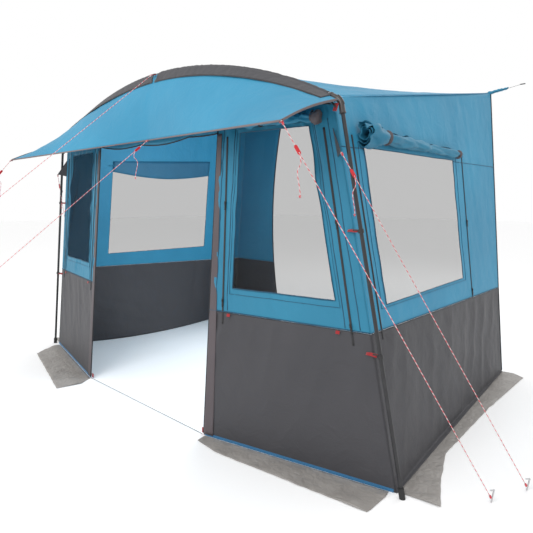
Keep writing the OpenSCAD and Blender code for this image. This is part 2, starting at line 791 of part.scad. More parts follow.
// Tab of folded webbing, hanging from p along d with its face along n
module tab(p, d, n, w, l, t = 3) {
    place(p, d, n) translate([0, -w / 2, -t / 2]) cube([l, w, t]);
}
module webbing_tabs() color(red) {
    tab(apex_ring + [0, 24, 2], [0, -1, -0.2], [0, -0.2, 1], 22, 30);
    tab(middle_guy[0] + [0, 6, -4], [0, -1, -0.35], [0, -0.4, 1], 20, 16);
    both_sides() {
        tab(tip_right_guy[0] + [-6, 8, -6], [1, -1, 0], [0, -0.4, 1], 18, 16);
        tab(facet_at(0.145, base_h - 4) + [4, -8, 0], [0, -0.3, -1], [0.2, -1, 0], 20, 16);
        tab(facet_at(0.83, base_h - 4) + [2, -8, 0], [0, -0.3, -1], [0.2, -1, 0], 20, 16);
        tab(corner3 + [-6, -21, -16], [-0.2, -0.2, -1], [0, -1, 0], 20, 36);
        tab(post_at(36) + [-14, 6, 0], [0, 0, -1], [0, -1, 0], 20, 30);
    }
}

// Plastic hooks round the legs, with a short arm back to the corner of the fabric
module hook(z) {
    grip_h = 18;
    rod(leg_at(z + grip_h / 2), leg_at(z - grip_h / 2), pole_r + 4, pole_r + fit_gap);
    a = leg_at(z) - [pole_r + 2, 0, 0];
    b = [wall_front_x(z) + 3, arch_y + 4, z];
    strip(a, b, [0, -1, 0], 12, 3);
}
module pole_hooks() color(black) {
    hook(1177);
    hook(621);
    mirror([1, 0, 0]) {
        hook(1289);
        hook(669);
    }
}

// Grey gussets, sewn to the front panels beside the legs, that take two of the guys
module corner_patches() color(grey) both_sides() {
    o = facet_at(0.968, patch_tip[2] + 116) + [1, -4, 0];
    side = facet_at(0.972, patch_tip[2] - 16) + [1, -4, 0];
    x = unit(side - o);
    n = unit(cross(x, patch_tip - o));
    down = cross(n, x);
    place(o, x, n) linear_extrude(height = 2) polygon([
        [0, 0],
        [norm(side - o), 0],
        [(patch_tip - o) * x, (patch_tip - o) * down]
    ]);
}

// Straps from the rear corners of the roof, ending in bars for the vehicle's hooks
module rear_straps() color(black) both_sides() {
    a = [rear_top_half + 1, rear_y + 3, rear_h - 6];
    b = [1453, rear_y + rear_strap_l - 4, rear_h + 81];
    strip(a, b - 3.5 * unit(b - a), [0, 0, 1], 25, 2);
    place(b, [1, 0, 0], [0, 0, 1]) rotate([0, 90, 0]) translate([0, 0, -18])
        cylinder(r = 4, h = 36, $fn = 32);
}

leg_upper_right();
leg_upper_left();
leg_lower_right();
leg_lower_left();
elbow_right();
elbow_left();
arch_middle();
arch_right();
arch_left();
foot_caps();
roof();
arch_sleeve();
canopy();
door_header();
wall_right();
wall_left();
wall_base_right();
wall_base_left();
front_right();
front_left();
front_base_right();
front_base_left();
window_right();
window_left();
window_front();
mesh_window();
cover_right();
cover_left();
cover_front();
skirt_right();
skirt_left();
skirt_front_right();
skirt_front_left();
front_zips();
side_zips();
slider_in_high();
slider_in_low();
slider_out_high();
slider_out_low();
slider_side_high();
slider_side_low();
guy_top();
guy_middle();
guy_tip_right();
guy_tip_left();
guy_pole_right();
guy_pole_left();
runner_middle();
runner_tip_right();
runner_tip_left();
runner_pole_right();
runner_pole_left();
pegs_front();
pegs_side();
hem_tape();
door_sill_cord();
webbing_tabs();
pole_hooks();
corner_patches();
rear_straps();
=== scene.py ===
# Looks of an awning tent: one arched pole, a sky-blue and grey polyester shell with
# screens for windows, mud skirts, zips and guy ropes. Metres, +X right, +Y back, +Z up.
from math import asin, ceil, cos, pi, radians, sin, sqrt
import bmesh
import bpy
from mathutils import Matrix, Vector, noise


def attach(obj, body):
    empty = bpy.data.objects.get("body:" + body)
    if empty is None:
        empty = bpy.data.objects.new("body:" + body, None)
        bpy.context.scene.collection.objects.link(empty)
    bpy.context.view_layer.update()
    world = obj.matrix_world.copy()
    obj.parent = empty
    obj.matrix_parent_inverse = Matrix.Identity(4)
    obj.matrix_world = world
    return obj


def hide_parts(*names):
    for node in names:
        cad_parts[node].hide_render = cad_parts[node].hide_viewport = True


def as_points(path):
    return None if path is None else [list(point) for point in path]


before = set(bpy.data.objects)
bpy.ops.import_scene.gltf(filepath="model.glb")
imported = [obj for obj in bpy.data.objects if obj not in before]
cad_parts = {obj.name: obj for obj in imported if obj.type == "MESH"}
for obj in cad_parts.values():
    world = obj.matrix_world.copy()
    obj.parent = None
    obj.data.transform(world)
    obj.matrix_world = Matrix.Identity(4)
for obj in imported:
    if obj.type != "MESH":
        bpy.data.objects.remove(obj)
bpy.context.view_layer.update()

# ---- Camera ----
# A standing viewer's eye level, ahead of the tent and to its right.
EYE = Vector((2.744, -2.804, 1.315))
LOOK = Vector((-0.6823, 0.7190, -0.1326))
lens = bpy.data.cameras.new("camera")
lens.lens = 33.57
lens.sensor_width = 36
camera = bpy.data.objects.new("camera", lens)
camera.location = EYE
camera.rotation_euler = LOOK.to_track_quat("-Z", "Y").to_euler()
bpy.context.scene.collection.objects.link(camera)
bpy.context.scene.camera = camera

# ---- Guy ropes ----
# Braided polyester cord with a red tracer. Each is knotted to a tab on the tent, runs
# through a plastic tensioner and is pegged out taut.


def spaced(stops, step):
    """Values through all the stops, no further apart than step."""
    values = [stops[0]]
    for a, b in zip(stops, stops[1:]):
        n = max(1, ceil((b - a) / step - 1e-6))
        values += [a + (b - a) * k / n for k in range(1, n + 1)]
    return values


def warp(name, us, ws, place, keep=None, size=(1.0, 1.0), close=False):
    """A grid laid onto place(u, w), for the values us to the right and ws up.
    keep(u, w) says which cells stay, and size is the cloth's own size for its UV map."""
    across, up = len(us) - 1, len(ws) - 1
    cloth = bmesh.new()
    bmesh.ops.create_grid(cloth, x_segments=across, y_segments=up, size=1)
    uv = cloth.loops.layers.uv.new("cloth")
    at = {}
    for v in cloth.verts:
        at[v] = (
            us[round((v.co.x + 1) / 2 * across)],
            ws[round((v.co.y + 1) / 2 * up)],
        )
    gone = []
    for f in cloth.faces:
        for corner in f.loops:
            u, w = at[corner.vert]
            corner[uv].uv = (u * size[0], w * size[1])
        if keep:
            u = sum(at[v][0] for v in f.verts) / 4
            w = sum(at[v][1] for v in f.verts) / 4
            if not keep(u, w):
                gone.append(f)
        f.smooth = True
    for v, (u, w) in at.items():
        v.co = place(u, w)
    bmesh.ops.delete(cloth, geom=gone, context="FACES")
    if close:
        bmesh.ops.remove_doubles(cloth, verts=cloth.verts, dist=1e-6)
        rims = [e for e in cloth.edges if e.is_boundary]
        bmesh.ops.holes_fill(cloth, edges=rims, sides=0)
        bmesh.ops.recalc_face_normals(cloth, faces=cloth.faces)
    mesh = bpy.data.meshes.new(name)
    cloth.to_mesh(mesh)
    cloth.free()
    made = bpy.data.objects.new(name, mesh)
    bpy.context.scene.collection.objects.link(made)
    return made


def tube(name, path, radius, sides=10, flat=1.0):
    """A closed tube along a path, flat times as thick across as it is wide."""
    path = [Vector(p) for p in path]
    run = [0.0]
    for a, b in zip(path, path[1:]):
        run.append(run[-1] + (b - a).length)
    side = (path[1] - path[0]).orthogonal().normalized()
    frames = []
    for k, p in enumerate(path):
        ahead = path[min(k + 1, len(path) - 1)] - path[max(k - 1, 0)]
        ahead.normalize()
        side = (side - ahead * side.dot(ahead)).normalized()
        frames.append((p, side.copy(), ahead.cross(side)))

    def place(k, turn):
        p, a, b = frames[round(k)]
        return p + radius * (a * cos(2 * pi * turn) + flat * b * sin(2 * pi * turn))

    made = warp(
        name,
        list(range(len(path))),
        [k / sides for k in range(sides + 1)],
        place,
        close=True,
    )
    uv = made.data.uv_layers["cloth"].data
    for corner in uv:
        k = min(max(round(corner.uv[0]), 0), len(run) - 1)
        corner.uv = (run[k], corner.uv[1])
    return made


def fit(made, finish, slot, body="tent"):
    """Gives a new piece its finish and the body that it rides on; slot is not used."""
    made.data.materials.append(finish)
    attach(made, body)
    return made


def straight(a, b, n):
    return [Vector(a).lerp(Vector(b), k / n) for k in range(n + 1)]


def new_material(name, colour, roughness):
    """A material and its shader, to which each finish adds its own nodes."""
    made = bpy.data.materials.new(name)
    made.use_nodes = True
    shader = made.node_tree.nodes["Principled BSDF"]
    shader.inputs["Base Color"].default_value = (*colour, 1)
    shader.inputs["Roughness"].default_value = roughness
    return made, shader


def node(material, kind, **inputs):
    """A node with its unlinked inputs set; a linked one is given as a socket."""
    made = material.node_tree.nodes.new(kind)
    for key, value in inputs.items():
        socket = made.inputs[key.replace("_", " ")]
        if isinstance(value, bpy.types.NodeSocket):
            material.node_tree.links.new(value, socket)
        else:
            socket.default_value = value
    return made


def link(material, a, b):
    material.node_tree.links.new(a, b)


def maths(material, operation, a, b=0.0):
    made = material.node_tree.nodes.new("ShaderNodeMath")
    made.operation = operation
    for socket, value in zip(made.inputs, (a, b)):
        if isinstance(value, bpy.types.NodeSocket):
            material.node_tree.links.new(value, socket)
        else:
            socket.default_value = value
    return made.outputs[0]


def blend_colours(material, factor, a, b):
    """Colour a where factor is 0 and b where it is 1; each is a colour or a socket."""
    made = material.node_tree.nodes.new("ShaderNodeMix")
    made.data_type = "RGBA"
    link(material, factor, made.inputs[0])
    for socket, value in ((made.inputs[6], a), (made.inputs[7], b)):
        if isinstance(value, bpy.types.NodeSocket):
            link(material, value, socket)
        else:
            socket.default_value = (*value, 1)
    return made.outputs[2]


def braid(name, base, tracer, pitch):
    """Braided cord: a raised herringbone, and a tracer of another colour."""
    made, shader = new_material(name, base, 0.75)
    coords = made.node_tree.nodes.new("ShaderNodeTexCoord")
    parts = node(made, "ShaderNodeSeparateXYZ", Vector=coords.outputs["UV"])
    along, turn = parts.outputs[0], parts.outputs[1]
    one = maths(made, "ADD", maths(made, "MULTIPLY", along, 1 / pitch), turn)
    other = maths(made, "SUBTRACT", maths(made, "MULTIPLY", along, 1 / pitch), turn)
    waves = [maths(made, "SINE", maths(made, "MULTIPLY", w, 2 * pi)) for w in (one, other)]
    lay = maths(made, "MAXIMUM", waves[0], waves[1])
    bump = node(made, "ShaderNodeBump", Height=lay, Strength=0.6, Distance=0.0004)
    link(made, bump.outputs[0], shader.inputs["Normal"])
    fleck = maths(made, "GREATER_THAN", waves[0], 0.15)
    link(made, blend_colours(made, fleck, base, tracer), shader.inputs["Base Color"])
    shader.inputs["Sheen Weight"].default_value = 0.3
    return made


ROPE_D = 0.0035
PEG_TOP = 0.016
APEX_RING = (0, -0.950, 2.091)
HEM_TAB = (0, -0.995, 1.688)
TIP_RIGHT = (1.407, -1.312, 1.624)
TIP_LEFT = (-1.407, -1.312, 1.624)
PATCH_RIGHT = (1.433, -0.942, 1.527)
PATCH_LEFT = (-1.433, -0.942, 1.527)
guys = {
    "guy_top": (APEX_RING, (-1.900, -2.885, PEG_TOP)),
    "guy_middle": (HEM_TAB, (-0.500, -2.885, PEG_TOP)),
    "guy_tip_right": (TIP_RIGHT, (2.065, -0.655, PEG_TOP)),
    "guy_tip_left": (TIP_LEFT, (-1.447, -2.673, PEG_TOP)),
    "guy_pole_right": (PATCH_RIGHT, (2.150, -0.450, PEG_TOP)),
    "guy_pole_left": (PATCH_LEFT, (-2.150, -0.450, PEG_TOP)),
}
rope_braid = braid("rope_braid", (0.62, 0.50, 0.50), (0.60, 0.03, 0.05), 0.026)


def knot(name, at, along, turns=4):
    """The rope's end wound a few turns round itself and pulled tight."""
    along = Vector(along).normalized()
    side = along.orthogonal().normalized()
    other = along.cross(side)
    steps = 14 * turns
    coil = []
    for k in range(steps + 1):
        a = 2 * pi * k * turns / steps
        r = ROPE_D * 1.02
        coil.append(
            Vector(at)
            + along * (0.003 + ROPE_D * 1.05 * turns * k / steps)
            + r * (side * cos(a) + other * sin(a))
        )
    made = tube(name, coil, ROPE_D / 2, sides=8)
    made.data.materials.append(rope_braid)
    return made


for name, (start, end) in guys.items():
    start, end = Vector(start), Vector(end)
    run = end - start
    rope = tube(name + "_cord", straight(start, end, 60), ROPE_D / 2)
    rope.data.materials.append(rope_braid)
    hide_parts(name)
    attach(rope, "tent")
    knots = [
        knot(name + "_top_knot", start, run),
        knot(name + "_peg_knot", end, -run),
    ]
    for piece in knots:
        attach(piece, "tent")
    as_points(straight(start, end, 60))

# The doorway's sill cord: thin black shock cord from post to post, on the ground.
SILL_D = 0.003
SILL_ENDS = ((-0.650, -1.125, 0.006), (0.650, -1.125, 0.006))
sill_braid = braid("sill_braid", (0.012, 0.012, 0.013), (0.03, 0.03, 0.032), 0.01)
sill_path = straight(*SILL_ENDS, 40)
sill = tube("door_sill_line", sill_path, SILL_D / 2, sides=8)
sill.data.materials.append(sill_braid)
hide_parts("door_sill_cord")
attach(sill, "tent")

# ---- Poles ----
# Powder-coated steel tube, black, with swaged joints and bare ferrules.


def paint(cad_node, material):
    """Gives a CAD node its finish."""
    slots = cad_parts[cad_node].data.materials
    slots.clear()
    slots.append(material)


def powder_coat(name, colour, roughness):
    made, shader = new_material(name, colour, roughness)
    coords = made.node_tree.nodes.new("ShaderNodeTexCoord")
    grain = node(
        made, "ShaderNodeTexNoise", Vector=coords.outputs["Object"], Scale=900.0, Detail=2.0
    )
    bump = node(
        made,
        "ShaderNodeBump",
        Height=grain.outputs[0],
        Strength=0.25,
        Distance=0.0002,
    )
    link(made, bump.outputs[0], shader.inputs["Normal"])
    scuff = node(
        made, "ShaderNodeTexNoise", Vector=coords.outputs["Object"], Scale=14.0, Detail=6.0
    )
    worn = node(
        made,
        "ShaderNodeMapRange",
        Value=scuff.outputs[0],
        From_Min=0.45,
        From_Max=0.75,
        To_Min=roughness,
        To_Max=min(1.0, roughness + 0.25),
    )
    link(made, worn.outputs[0], shader.inputs["Roughness"])
    light = tuple(min(1.0, 2.2 * c + 0.01) for c in colour)
    rubbed = node(
        made, "ShaderNodeMapRange", Value=scuff.outputs[0], From_Min=0.6, From_Max=0.85
    )
    link(
        made,
        blend_colours(made, rubbed.outputs[0], colour, light),
        shader.inputs["Base Color"],
    )
    return made


leg_black = powder_coat("leg_black", (0.016, 0.016, 0.018), 0.32)
for cad_node in ("leg_upper_right", "leg_upper_left", "leg_lower_right", "leg_lower_left"):
    paint(cad_node, leg_black)
arch_black = powder_coat("arch_black", (0.02, 0.02, 0.022), 0.3)
for cad_node in ("arch_middle", "arch_right", "arch_left"):
    paint(cad_node, arch_black)

# ---- Elbows ----
# Moulded nylon, dark grey-brown and slightly glossy, with a plated ferrule where the
# arch goes in and a black collar behind it.
ELBOW_HALF, ELBOW_H, ARCH_TOP, ARCH_Y = 1.341, 1.788, 2.100, -0.900
RISE = ARCH_TOP - ELBOW_H
ARCH_R = (ELBOW_HALF**2 + RISE**2) / (2 * RISE)
ARCH_MID_Z = ARCH_TOP - ARCH_R
ARCH_END = asin(ELBOW_HALF / ARCH_R)


def arch_at(angle, r=ARCH_R):
    return Vector((r * sin(angle), ARCH_Y, ARCH_MID_Z + r * cos(angle)))


def moulded(name, colour, roughness, grain=500.0):
    made, shader = new_material(name, colour, roughness)
    coords = made.node_tree.nodes.new("ShaderNodeTexCoord")
    skin = node(
        made, "ShaderNodeTexNoise", Vector=coords.outputs["Object"], Scale=grain, Detail=3.0
    )
    bump = node(
        made, "ShaderNodeBump", Height=skin.outputs[0], Strength=0.35, Distance=0.0003
    )
    link(made, bump.outputs[0], shader.inputs["Normal"])
    cloud = node(
        made, "ShaderNodeTexNoise", Vector=coords.outputs["Object"], Scale=25.0, Detail=4.0
    )
    pale = tuple(min(1.0, 1.35 * c + 0.004) for c in colour)
    link(
        made, blend_colours(made, cloud.outputs[0], colour, pale), shader.inputs["Base Color"]
    )
    return made


def ring(name, at, along, radius, length, lip=0.0):
    """A turned collar: a short tube with rounded ends, spun about its axis."""
    profile = [
        (-length / 2, radius - 0.0012),
        (-length / 2 + 0.001, radius + lip),
        (length / 2 - 0.001, radius + lip),
        (length / 2, radius - 0.0012),
        (length / 2, radius - 0.003),
        (-length / 2, radius - 0.003),
    ]
    turned = bmesh.new()
    line = [turned.verts.new((r, 0, x)) for x, r in profile]
    edges = [turned.edges.new((a, b)) for a, b in zip(line, line[1:] + line[:1])]
    bmesh.ops.spin(
        turned,
        geom=line + edges,
        cent=(0, 0, 0),
        axis=(0, 0, 1),
        angle=2 * pi,
        steps=32,
        use_merge=True,
        use_duplicate=False,
    )
    bmesh.ops.remove_doubles(turned, verts=turned.verts, dist=1e-6)
    bmesh.ops.recalc_face_normals(turned, faces=turned.faces)
    turn = Vector(along).to_track_quat("Z", "Y").to_matrix().to_4x4()
    turned.transform(Matrix.Translation(at) @ turn)
    for f in turned.faces:
        f.smooth = True
    mesh = bpy.data.meshes.new(name)
    turned.to_mesh(mesh)
    turned.free()
    made = bpy.data.objects.new(name, mesh)
    bpy.context.scene.collection.objects.link(made)
    return made


def metal(name, colour, roughness):
    made = powder_coat(name, colour, roughness)
    made.node_tree.nodes["Principled BSDF"].inputs["Metallic"].default_value = 1.0
    return made


elbow_nylon = moulded("elbow_nylon", (0.038, 0.033, 0.031), 0.3)
collar_black = moulded("collar_black", (0.012, 0.012, 0.012), 0.45)
ferrule_plate = metal("ferrule_plate", (0.75, 0.75, 0.76), 0.18)
paint("elbow_right", elbow_nylon)
paint("elbow_left", elbow_nylon)
for side, hand in ((1, "right"), (-1, "left")):
    for piece, back, radius, length, finish in (
        ("ferrule", 0.007, 0.0122, 0.012, ferrule_plate),
        ("collar", 0.019, 0.0126, 0.010, collar_black),
    ):
        angle = side * (ARCH_END - back / ARCH_R)
        made = ring(
            f"elbow_{piece}_{hand}",
            arch_at(angle),
            (cos(angle), 0, -sin(angle)),
            radius,
            length,
        )
        fit(made, finish, "elbow")

# Two short black webbing ties hold each of the shell's corners to its elbow
ELBOW_CORNER = Vector((1.3966, ARCH_Y, 1.7606))
ELBOW_TIE_R = 0.005
ELBOW_TIES = (
    ((-0.078, -0.030, -0.010), (-0.036, -0.026, -0.016)),
    ((-0.046, -0.020, 0.004), (-0.006, -0.026, -0.034)),
)
for side, hand in ((1, "right"), (-1, "left")):
    for k, ends in enumerate(ELBOW_TIES):
        tie_path = [ELBOW_CORNER + Vector(p) for p in ends]
        tie_path = [Vector((p.x * side, p.y, p.z)) for p in tie_path]
        made = tube(f"elbow_strap_{hand}_{k}", tie_path, ELBOW_TIE_R, sides=10, flat=0.4)
        fit(made, collar_black, "elbow")

foot_rubber = moulded("foot_rubber", (0.012, 0.012, 0.012), 0.7)
paint("foot_caps", foot_rubber)

# ---- Shell cloth ----
# Coated polyester taffeta, woven at about five threads to the millimetre, sewn from
# panels that the poles and guys pull tight, so it creases from its corners.


def taffeta(name, colour, deep, roughness=0.62, crinkle=1.0):
    """Coated woven cloth: threads, soft creases and a slow change of shade."""
    made, shader = new_material(name, colour, roughness)
    coords = made.node_tree.nodes.new("ShaderNodeTexCoord")
    weave = None
    for turn in (0.0, pi / 2):
        mapping = node(
            made,
            "ShaderNodeMapping",
            Vector=coords.outputs["UV"],
            Rotation=(0.0, 0.0, turn),
        )
        threads = made.node_tree.nodes.new("ShaderNodeTexWave")
        threads.bands_direction = "X"
        link(made, mapping.outputs[0], threads.inputs["Vector"])
        threads.inputs["Scale"].default_value = 320.0
        threads.inputs["Distortion"].default_value = 0.6
        lines = threads.outputs["Fac"]
        weave = lines if weave is None else maths(made, "MULTIPLY", weave, lines)
    fine = node(made, "ShaderNodeBump", Height=weave, Strength=0.25, Distance=0.0003)
    soft = node(
        made,
        "ShaderNodeTexNoise",
        Vector=coords.outputs["Object"],
        Scale=9.0,
        Detail=5.0,
        Roughness=0.55,
        Distortion=0.8,
    )
    creased = node(
        made,
        "ShaderNodeBump",
        Height=soft.outputs[0],
        Strength=0.5 * crinkle,
        Distance=0.012,
        Normal=fine.outputs[0],
    )
    link(made, creased.outputs[0], shader.inputs["Normal"])
    shade = node(
        made,
        "ShaderNodeTexNoise",
        Vector=coords.outputs["Object"],
        Scale=1.6,
        Detail=3.0,
    )
    spread = node(
        made, "ShaderNodeMapRange", Value=shade.outputs[0], From_Min=0.35, From_Max=0.65
    )
    tone = blend_colours(made, spread.outputs[0], deep, colour)
    # Darker in the hollows between the threads, where the weave's bump is low: painted shade.
    thread_gap_painted_shade = node(
        made, "ShaderNodeMapRange", Value=weave, To_Min=0.25, To_Max=0.0
    )
    link(
        made,
        blend_colours(made, thread_gap_painted_shade.outputs[0], tone, deep),
        shader.inputs["Base Color"],
    )
    shader.inputs["Sheen Weight"].default_value = 0.05
    shader.inputs["Sheen Roughness"].default_value = 0.4
    return made


sky_cloth = taffeta("sky_cloth", (0.022, 0.25, 0.415), (0.016, 0.21, 0.36))
# A darker copy of the sky-blue cloth: painted shade for the shadow under the canopy, used on the
# front panels and on the rolled covers.
sky_cloth_painted_shade = taffeta("sky_cloth_painted_shade", (0.014, 0.19, 0.31), (0.010, 0.16, 0.27))
grey_cloth = taffeta("grey_cloth", (0.048, 0.047, 0.053), (0.038, 0.038, 0.044))
# A dark blue cloth that paints the shadow of the left rolled cover, inside the wall.
painted_shadow_cloth = taffeta("painted_shadow_cloth", (0.02, 0.15, 0.26), (0.014, 0.11, 0.20))

CLOTH_T = 0.0015
FOOT_HALF, WALL_IN, REAR_FOOT_HALF, REAR_TOP_HALF = 1.769, 0.040, 1.512, 1.308
REAR_Y, REAR_H, WALL_Y = 1.140, 2.108, -0.882
BASE_H, BASE_REAR_H = 0.710, 0.650
DOOR_HALF, DOOR_TOP_HALF, DOOR_H = 0.658, 0.640, 1.690
BAY_OUT, BAY_TOP_OUT = 0.221, 0.070


def mix(a, b, t):
    return a * (1 - t) + b * t


def arch_z(x):
    return ARCH_MID_Z + sqrt(ARCH_R**2 - x * x)


def hand_side(p, side):
    """The same place on the right (1) or the left (-1)."""
    return Vector((p[0] * side, p[1], p[2]))


def billow(p, deep, wide, seed=0.0):
    return deep * noise.noise(Vector(p) / wide + Vector((seed, seed * 1.7, -seed)))


def crease(p, deep, wide, along, seed=0.0):
    """Sharp folds that run along a direction: sunk lines between flat stretches."""
    p = Vector(p)
    along = Vector(along).normalized()
    q = (p - along * p.dot(along) * 0.88) / wide + Vector((seed, -seed, seed * 0.6))
    return deep * (0.4 - abs(noise.noise(q)) * 1.6)


def surface_normal(place, u, w, step=0.004):
    a, b = max(u - step, 0), min(u + step, 1)
    c, d = max(w - step, 0), min(w + step, 1)
    across, up = place(b, w) - place(a, w), place(u, d) - place(u, c)
    return across.cross(up).normalized()


def creased(place, relief, fade=0.06):
    """place(u, w) with relief(p) added along the normal, fading to none at the edges."""

    def made(u, w):
        p = place(u, w)
        edge = min(1, u / fade, (1 - u) / fade, w / fade, (1 - w) / fade)
        edge = max(edge, 0)
        return p + surface_normal(place, u, w) * relief(p) * edge

    return made


def thicken(made, t=CLOTH_T):
    wall = made.modifiers.new("thickness", "SOLIDIFY")
    wall.thickness = t
    wall.offset = -1
    return made


def sew(made, material, slot, body="tent", covers=(), t=CLOTH_T):
    """Finishes a sewn piece: thickness, finish, and what it stands for."""
    made.data.materials.append(material)
    thicken(made, t)
    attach(made, body)
    if covers:
        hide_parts(*covers)
    return made


def lifted(place, lift):
    return lambda u, w: place(u, w) + surface_normal(place, u, w) * lift


def welt(name, place, path, radius, material, slot, lift=0.001, flat=0.45, body="tent"):
    """A sewn seam or piping that follows a path of (u, w) on a cloth surface."""
    points = []
    for (u0, w0), (u1, w1) in zip(path, path[1:]):
        n = max(2, ceil(40 * max(abs(u1 - u0), abs(w1 - w0))))
        points += [(mix(u0, u1, k / n), mix(w0, w1, k / n)) for k in range(n)]
    points.append(path[-1])
    line = [place(u, w) + surface_normal(place, u, w) * lift for u, w in points]
    return fit(tube(name, line, radius, sides=8, flat=flat), material, slot, body)


black_tape = taffeta("black_tape", (0.012, 0.012, 0.014), (0.008, 0.008, 0.01), 0.7)

# ---- Roof ----
# One piece from the arch to the flat rear edge, with a felled seam down each third.
ROOF_SAG = 0.016


def roof_place(u, w):
    a = 2 * u - 1
    front = arch_at(a * ARCH_END) + Vector((0, 0.017, 0))
    rear = Vector((REAR_TOP_HALF * sin(a * ARCH_END) / sin(ARCH_END), REAR_Y, REAR_H))
    p = front.lerp(rear, w)
    p.z -= ROOF_SAG * sin(pi * w) * (1 - a * a)
    return p


def roof_relief(p):
    corner = Vector((ELBOW_HALF, WALL_Y, ELBOW_H))
    pull = max(0.0, 1 - (Vector((abs(p.x), p.y, p.z)) - corner).length / 1.1)
    return (
        billow(p, 0.010, 0.7)
        + crease(p, 0.006, 0.16, (0.2, 1, 0.1)) * (0.5 + pull)
        + billow(p, 0.003, 0.12, 4)
    )


roof_cloth = creased(roof_place, roof_relief)
roof_us, roof_ws = spaced([0, 1], 1 / 150), spaced([0, 1], 1 / 110)
roof = warp("roof_cloth", roof_us, roof_ws, roof_cloth, size=(2.78, 2.06))
sew(roof, sky_cloth, "sky", covers=["roof"])
for k, u in enumerate((1 / 3, 2 / 3)):
    welt(f"roof_seam_{k}", roof_cloth, [(u, 0.005), (u, 0.995)], 0.004, sky_cloth, "sky")
welt("roof_rear_hem", roof_cloth, [(0.001, 0.995), (0.999, 0.995)], 0.006, black_tape, "web")

# ---- Arch sleeve, canopy and header ----
# A grey pole pocket runs over the arch and laps onto the canopy, whose hem is bound in
# grey webbing. It is notched at the top, where the pole shows and the top guy starts.
TIP_HALF, TIP_OUT, TIP_H = 1.407, 0.412, 1.624
HEM_MID_OUT, HEM_MID_H = 0.095, 1.688
SLEEVE_W, NOTCH_HALF = 0.075, 0.030
SLEEVE_END = 0.965


def canopy_base(u, w):
    """u from 0 on the left to 1, w from 0 at the hem to 1 at the arch."""
    a, v = 2 * u - 1, 1 - w
    top = arch_at(a * (ARCH_END + radians(1.2))) + Vector((0, -0.018, 0))
    out = abs(a) ** 1.15
    hem = Vector(
        (TIP_HALF * a, ARCH_Y - mix(HEM_MID_OUT, TIP_OUT, out), mix(HEM_MID_H, TIP_H, out))
    )
    return top.lerp(hem, v) + Vector((0, -0.020, 0.026)) * sin(pi * v) * (1 - 0.6 * abs(a))


def canopy_relief(p):
    near_tip = max(0.0, 1 - (Vector((abs(p.x), p.y, p.z)) - Vector(TIP_RIGHT)).length / 0.9)
    return (
        billow(p, 0.006, 0.5, 2)
        + crease(p, 0.004, 0.10, (1, -0.5, -0.4), 3) * near_tip
        + billow(p, 0.002, 0.11, 7)
    )


canopy_cloth = creased(canopy_base, canopy_relief, fade=0.04)
canopy_us = spaced([0, 0.5, 1], 1 / 150)
canopy = warp(
    "canopy_cloth", canopy_us, spaced([0, 0.99], 1 / 40), canopy_cloth, size=(2.9, 0.36)
)
sew(canopy, sky_cloth, "sky", covers=["canopy"])

canopy_width = [
    (canopy_base(u, 0) - canopy_base(u, 1)).length for u in (0.0, 0.25, 0.5, 0.75, 1.0)
]


def sleeve_base(u, w):
    """w from 0 at the sleeve's lower edge to 1 at the arch, then round its top."""
    at = min(u * 4, 3.999)
    k = int(at)
    long = mix(canopy_width[k], canopy_width[k + 1], at - k)
    if w <= 0.7:
        p = canopy_base(u, 1 - SLEEVE_W / long * (1 - w / 0.7))
        return p + Vector((0, -0.0016, 0.0016)) * 1.6
    a = (2 * u - 1) * (ARCH_END + radians(1.2))
    over = (w - 0.7) / 0.3
    turn = mix(radians(205), radians(-20), over)
    r = 0.0128
    middle = arch_at(a)
    up = Vector((sin(a), 0, cos(a)))
    return middle + up * r * sin(turn) + Vector((0, 1, 0)) * r * cos(turn)


def sleeve_relief(p):
    return crease(p, 0.0022, 0.035, (0.15, -0.55, -0.8), 5) + billow(p, 0.001, 0.02, 9)


sleeve_cloth = creased(sleeve_base, sleeve_relief, fade=0.02)


def off_notch(u, w):
    a = abs(2 * u - 1) * ELBOW_HALF
    return a > NOTCH_HALF * (0.35 + 0.75 * w)


half_end = SLEEVE_END / 2
sleeve = warp(
    "sleeve_cloth",
    spaced([0.5 - half_end, 0.47, 0.53, 0.5 + half_end], 1 / 260),
    spaced([0, 0.7, 1], 0.07),
    sleeve_cloth,
    keep=off_notch,
    size=(2.9, 0.13),
)
sew(sleeve, grey_cloth, "grey", covers=["arch_sleeve"], t=0.001)
STITCH_LINE, STITCH_R = 0.06, 0.0012
for name, us in (
    ("sleeve_stitching", (0.5 - half_end, 0.488)),
    ("sleeve_stitching_right", (0.512, 0.5 + half_end)),
):
    stitches = [(u, STITCH_LINE) for u in us]
    welt(name, sleeve_cloth, stitches, STITCH_R, black_tape, "grey")

binding_cloth = taffeta("binding_cloth", (0.17, 0.135, 0.135), (0.13, 0.10, 0.105), 0.7)
BINDING_R = 0.0075
for name, bound_edge in (
    ("canopy_binding", [(0.001, 0.0), (0.999, 0.0)]),
    ("canopy_end_binding_right", [(0.999, 0.0), (0.999, 0.97)]),
    ("canopy_end_binding_left", [(0.001, 0.0), (0.001, 0.97)]),
):
    welt(
        name,
        canopy_cloth,
        bound_edge,
        BINDING_R,
        binding_cloth,
        "grey",
        lift=-0.001,
        flat=0.4,
    )

HEADER_SAG = 0.022


def header_place(u, w):
    a = 2 * u - 1
    edge_y = ARCH_Y - BAY_TOP_OUT
    top = Vector((a * (DOOR_TOP_HALF - 0.017), ARCH_Y, arch_z(a * DOOR_TOP_HALF) - 0.016))
    swag = HEADER_SAG * (1 - a * a) + 0.016 * abs(sin(2.5 * pi * u))
    low = Vector((a * (DOOR_TOP_HALF - 0.002), edge_y, DOOR_H - swag))
    return low.lerp(top, w)


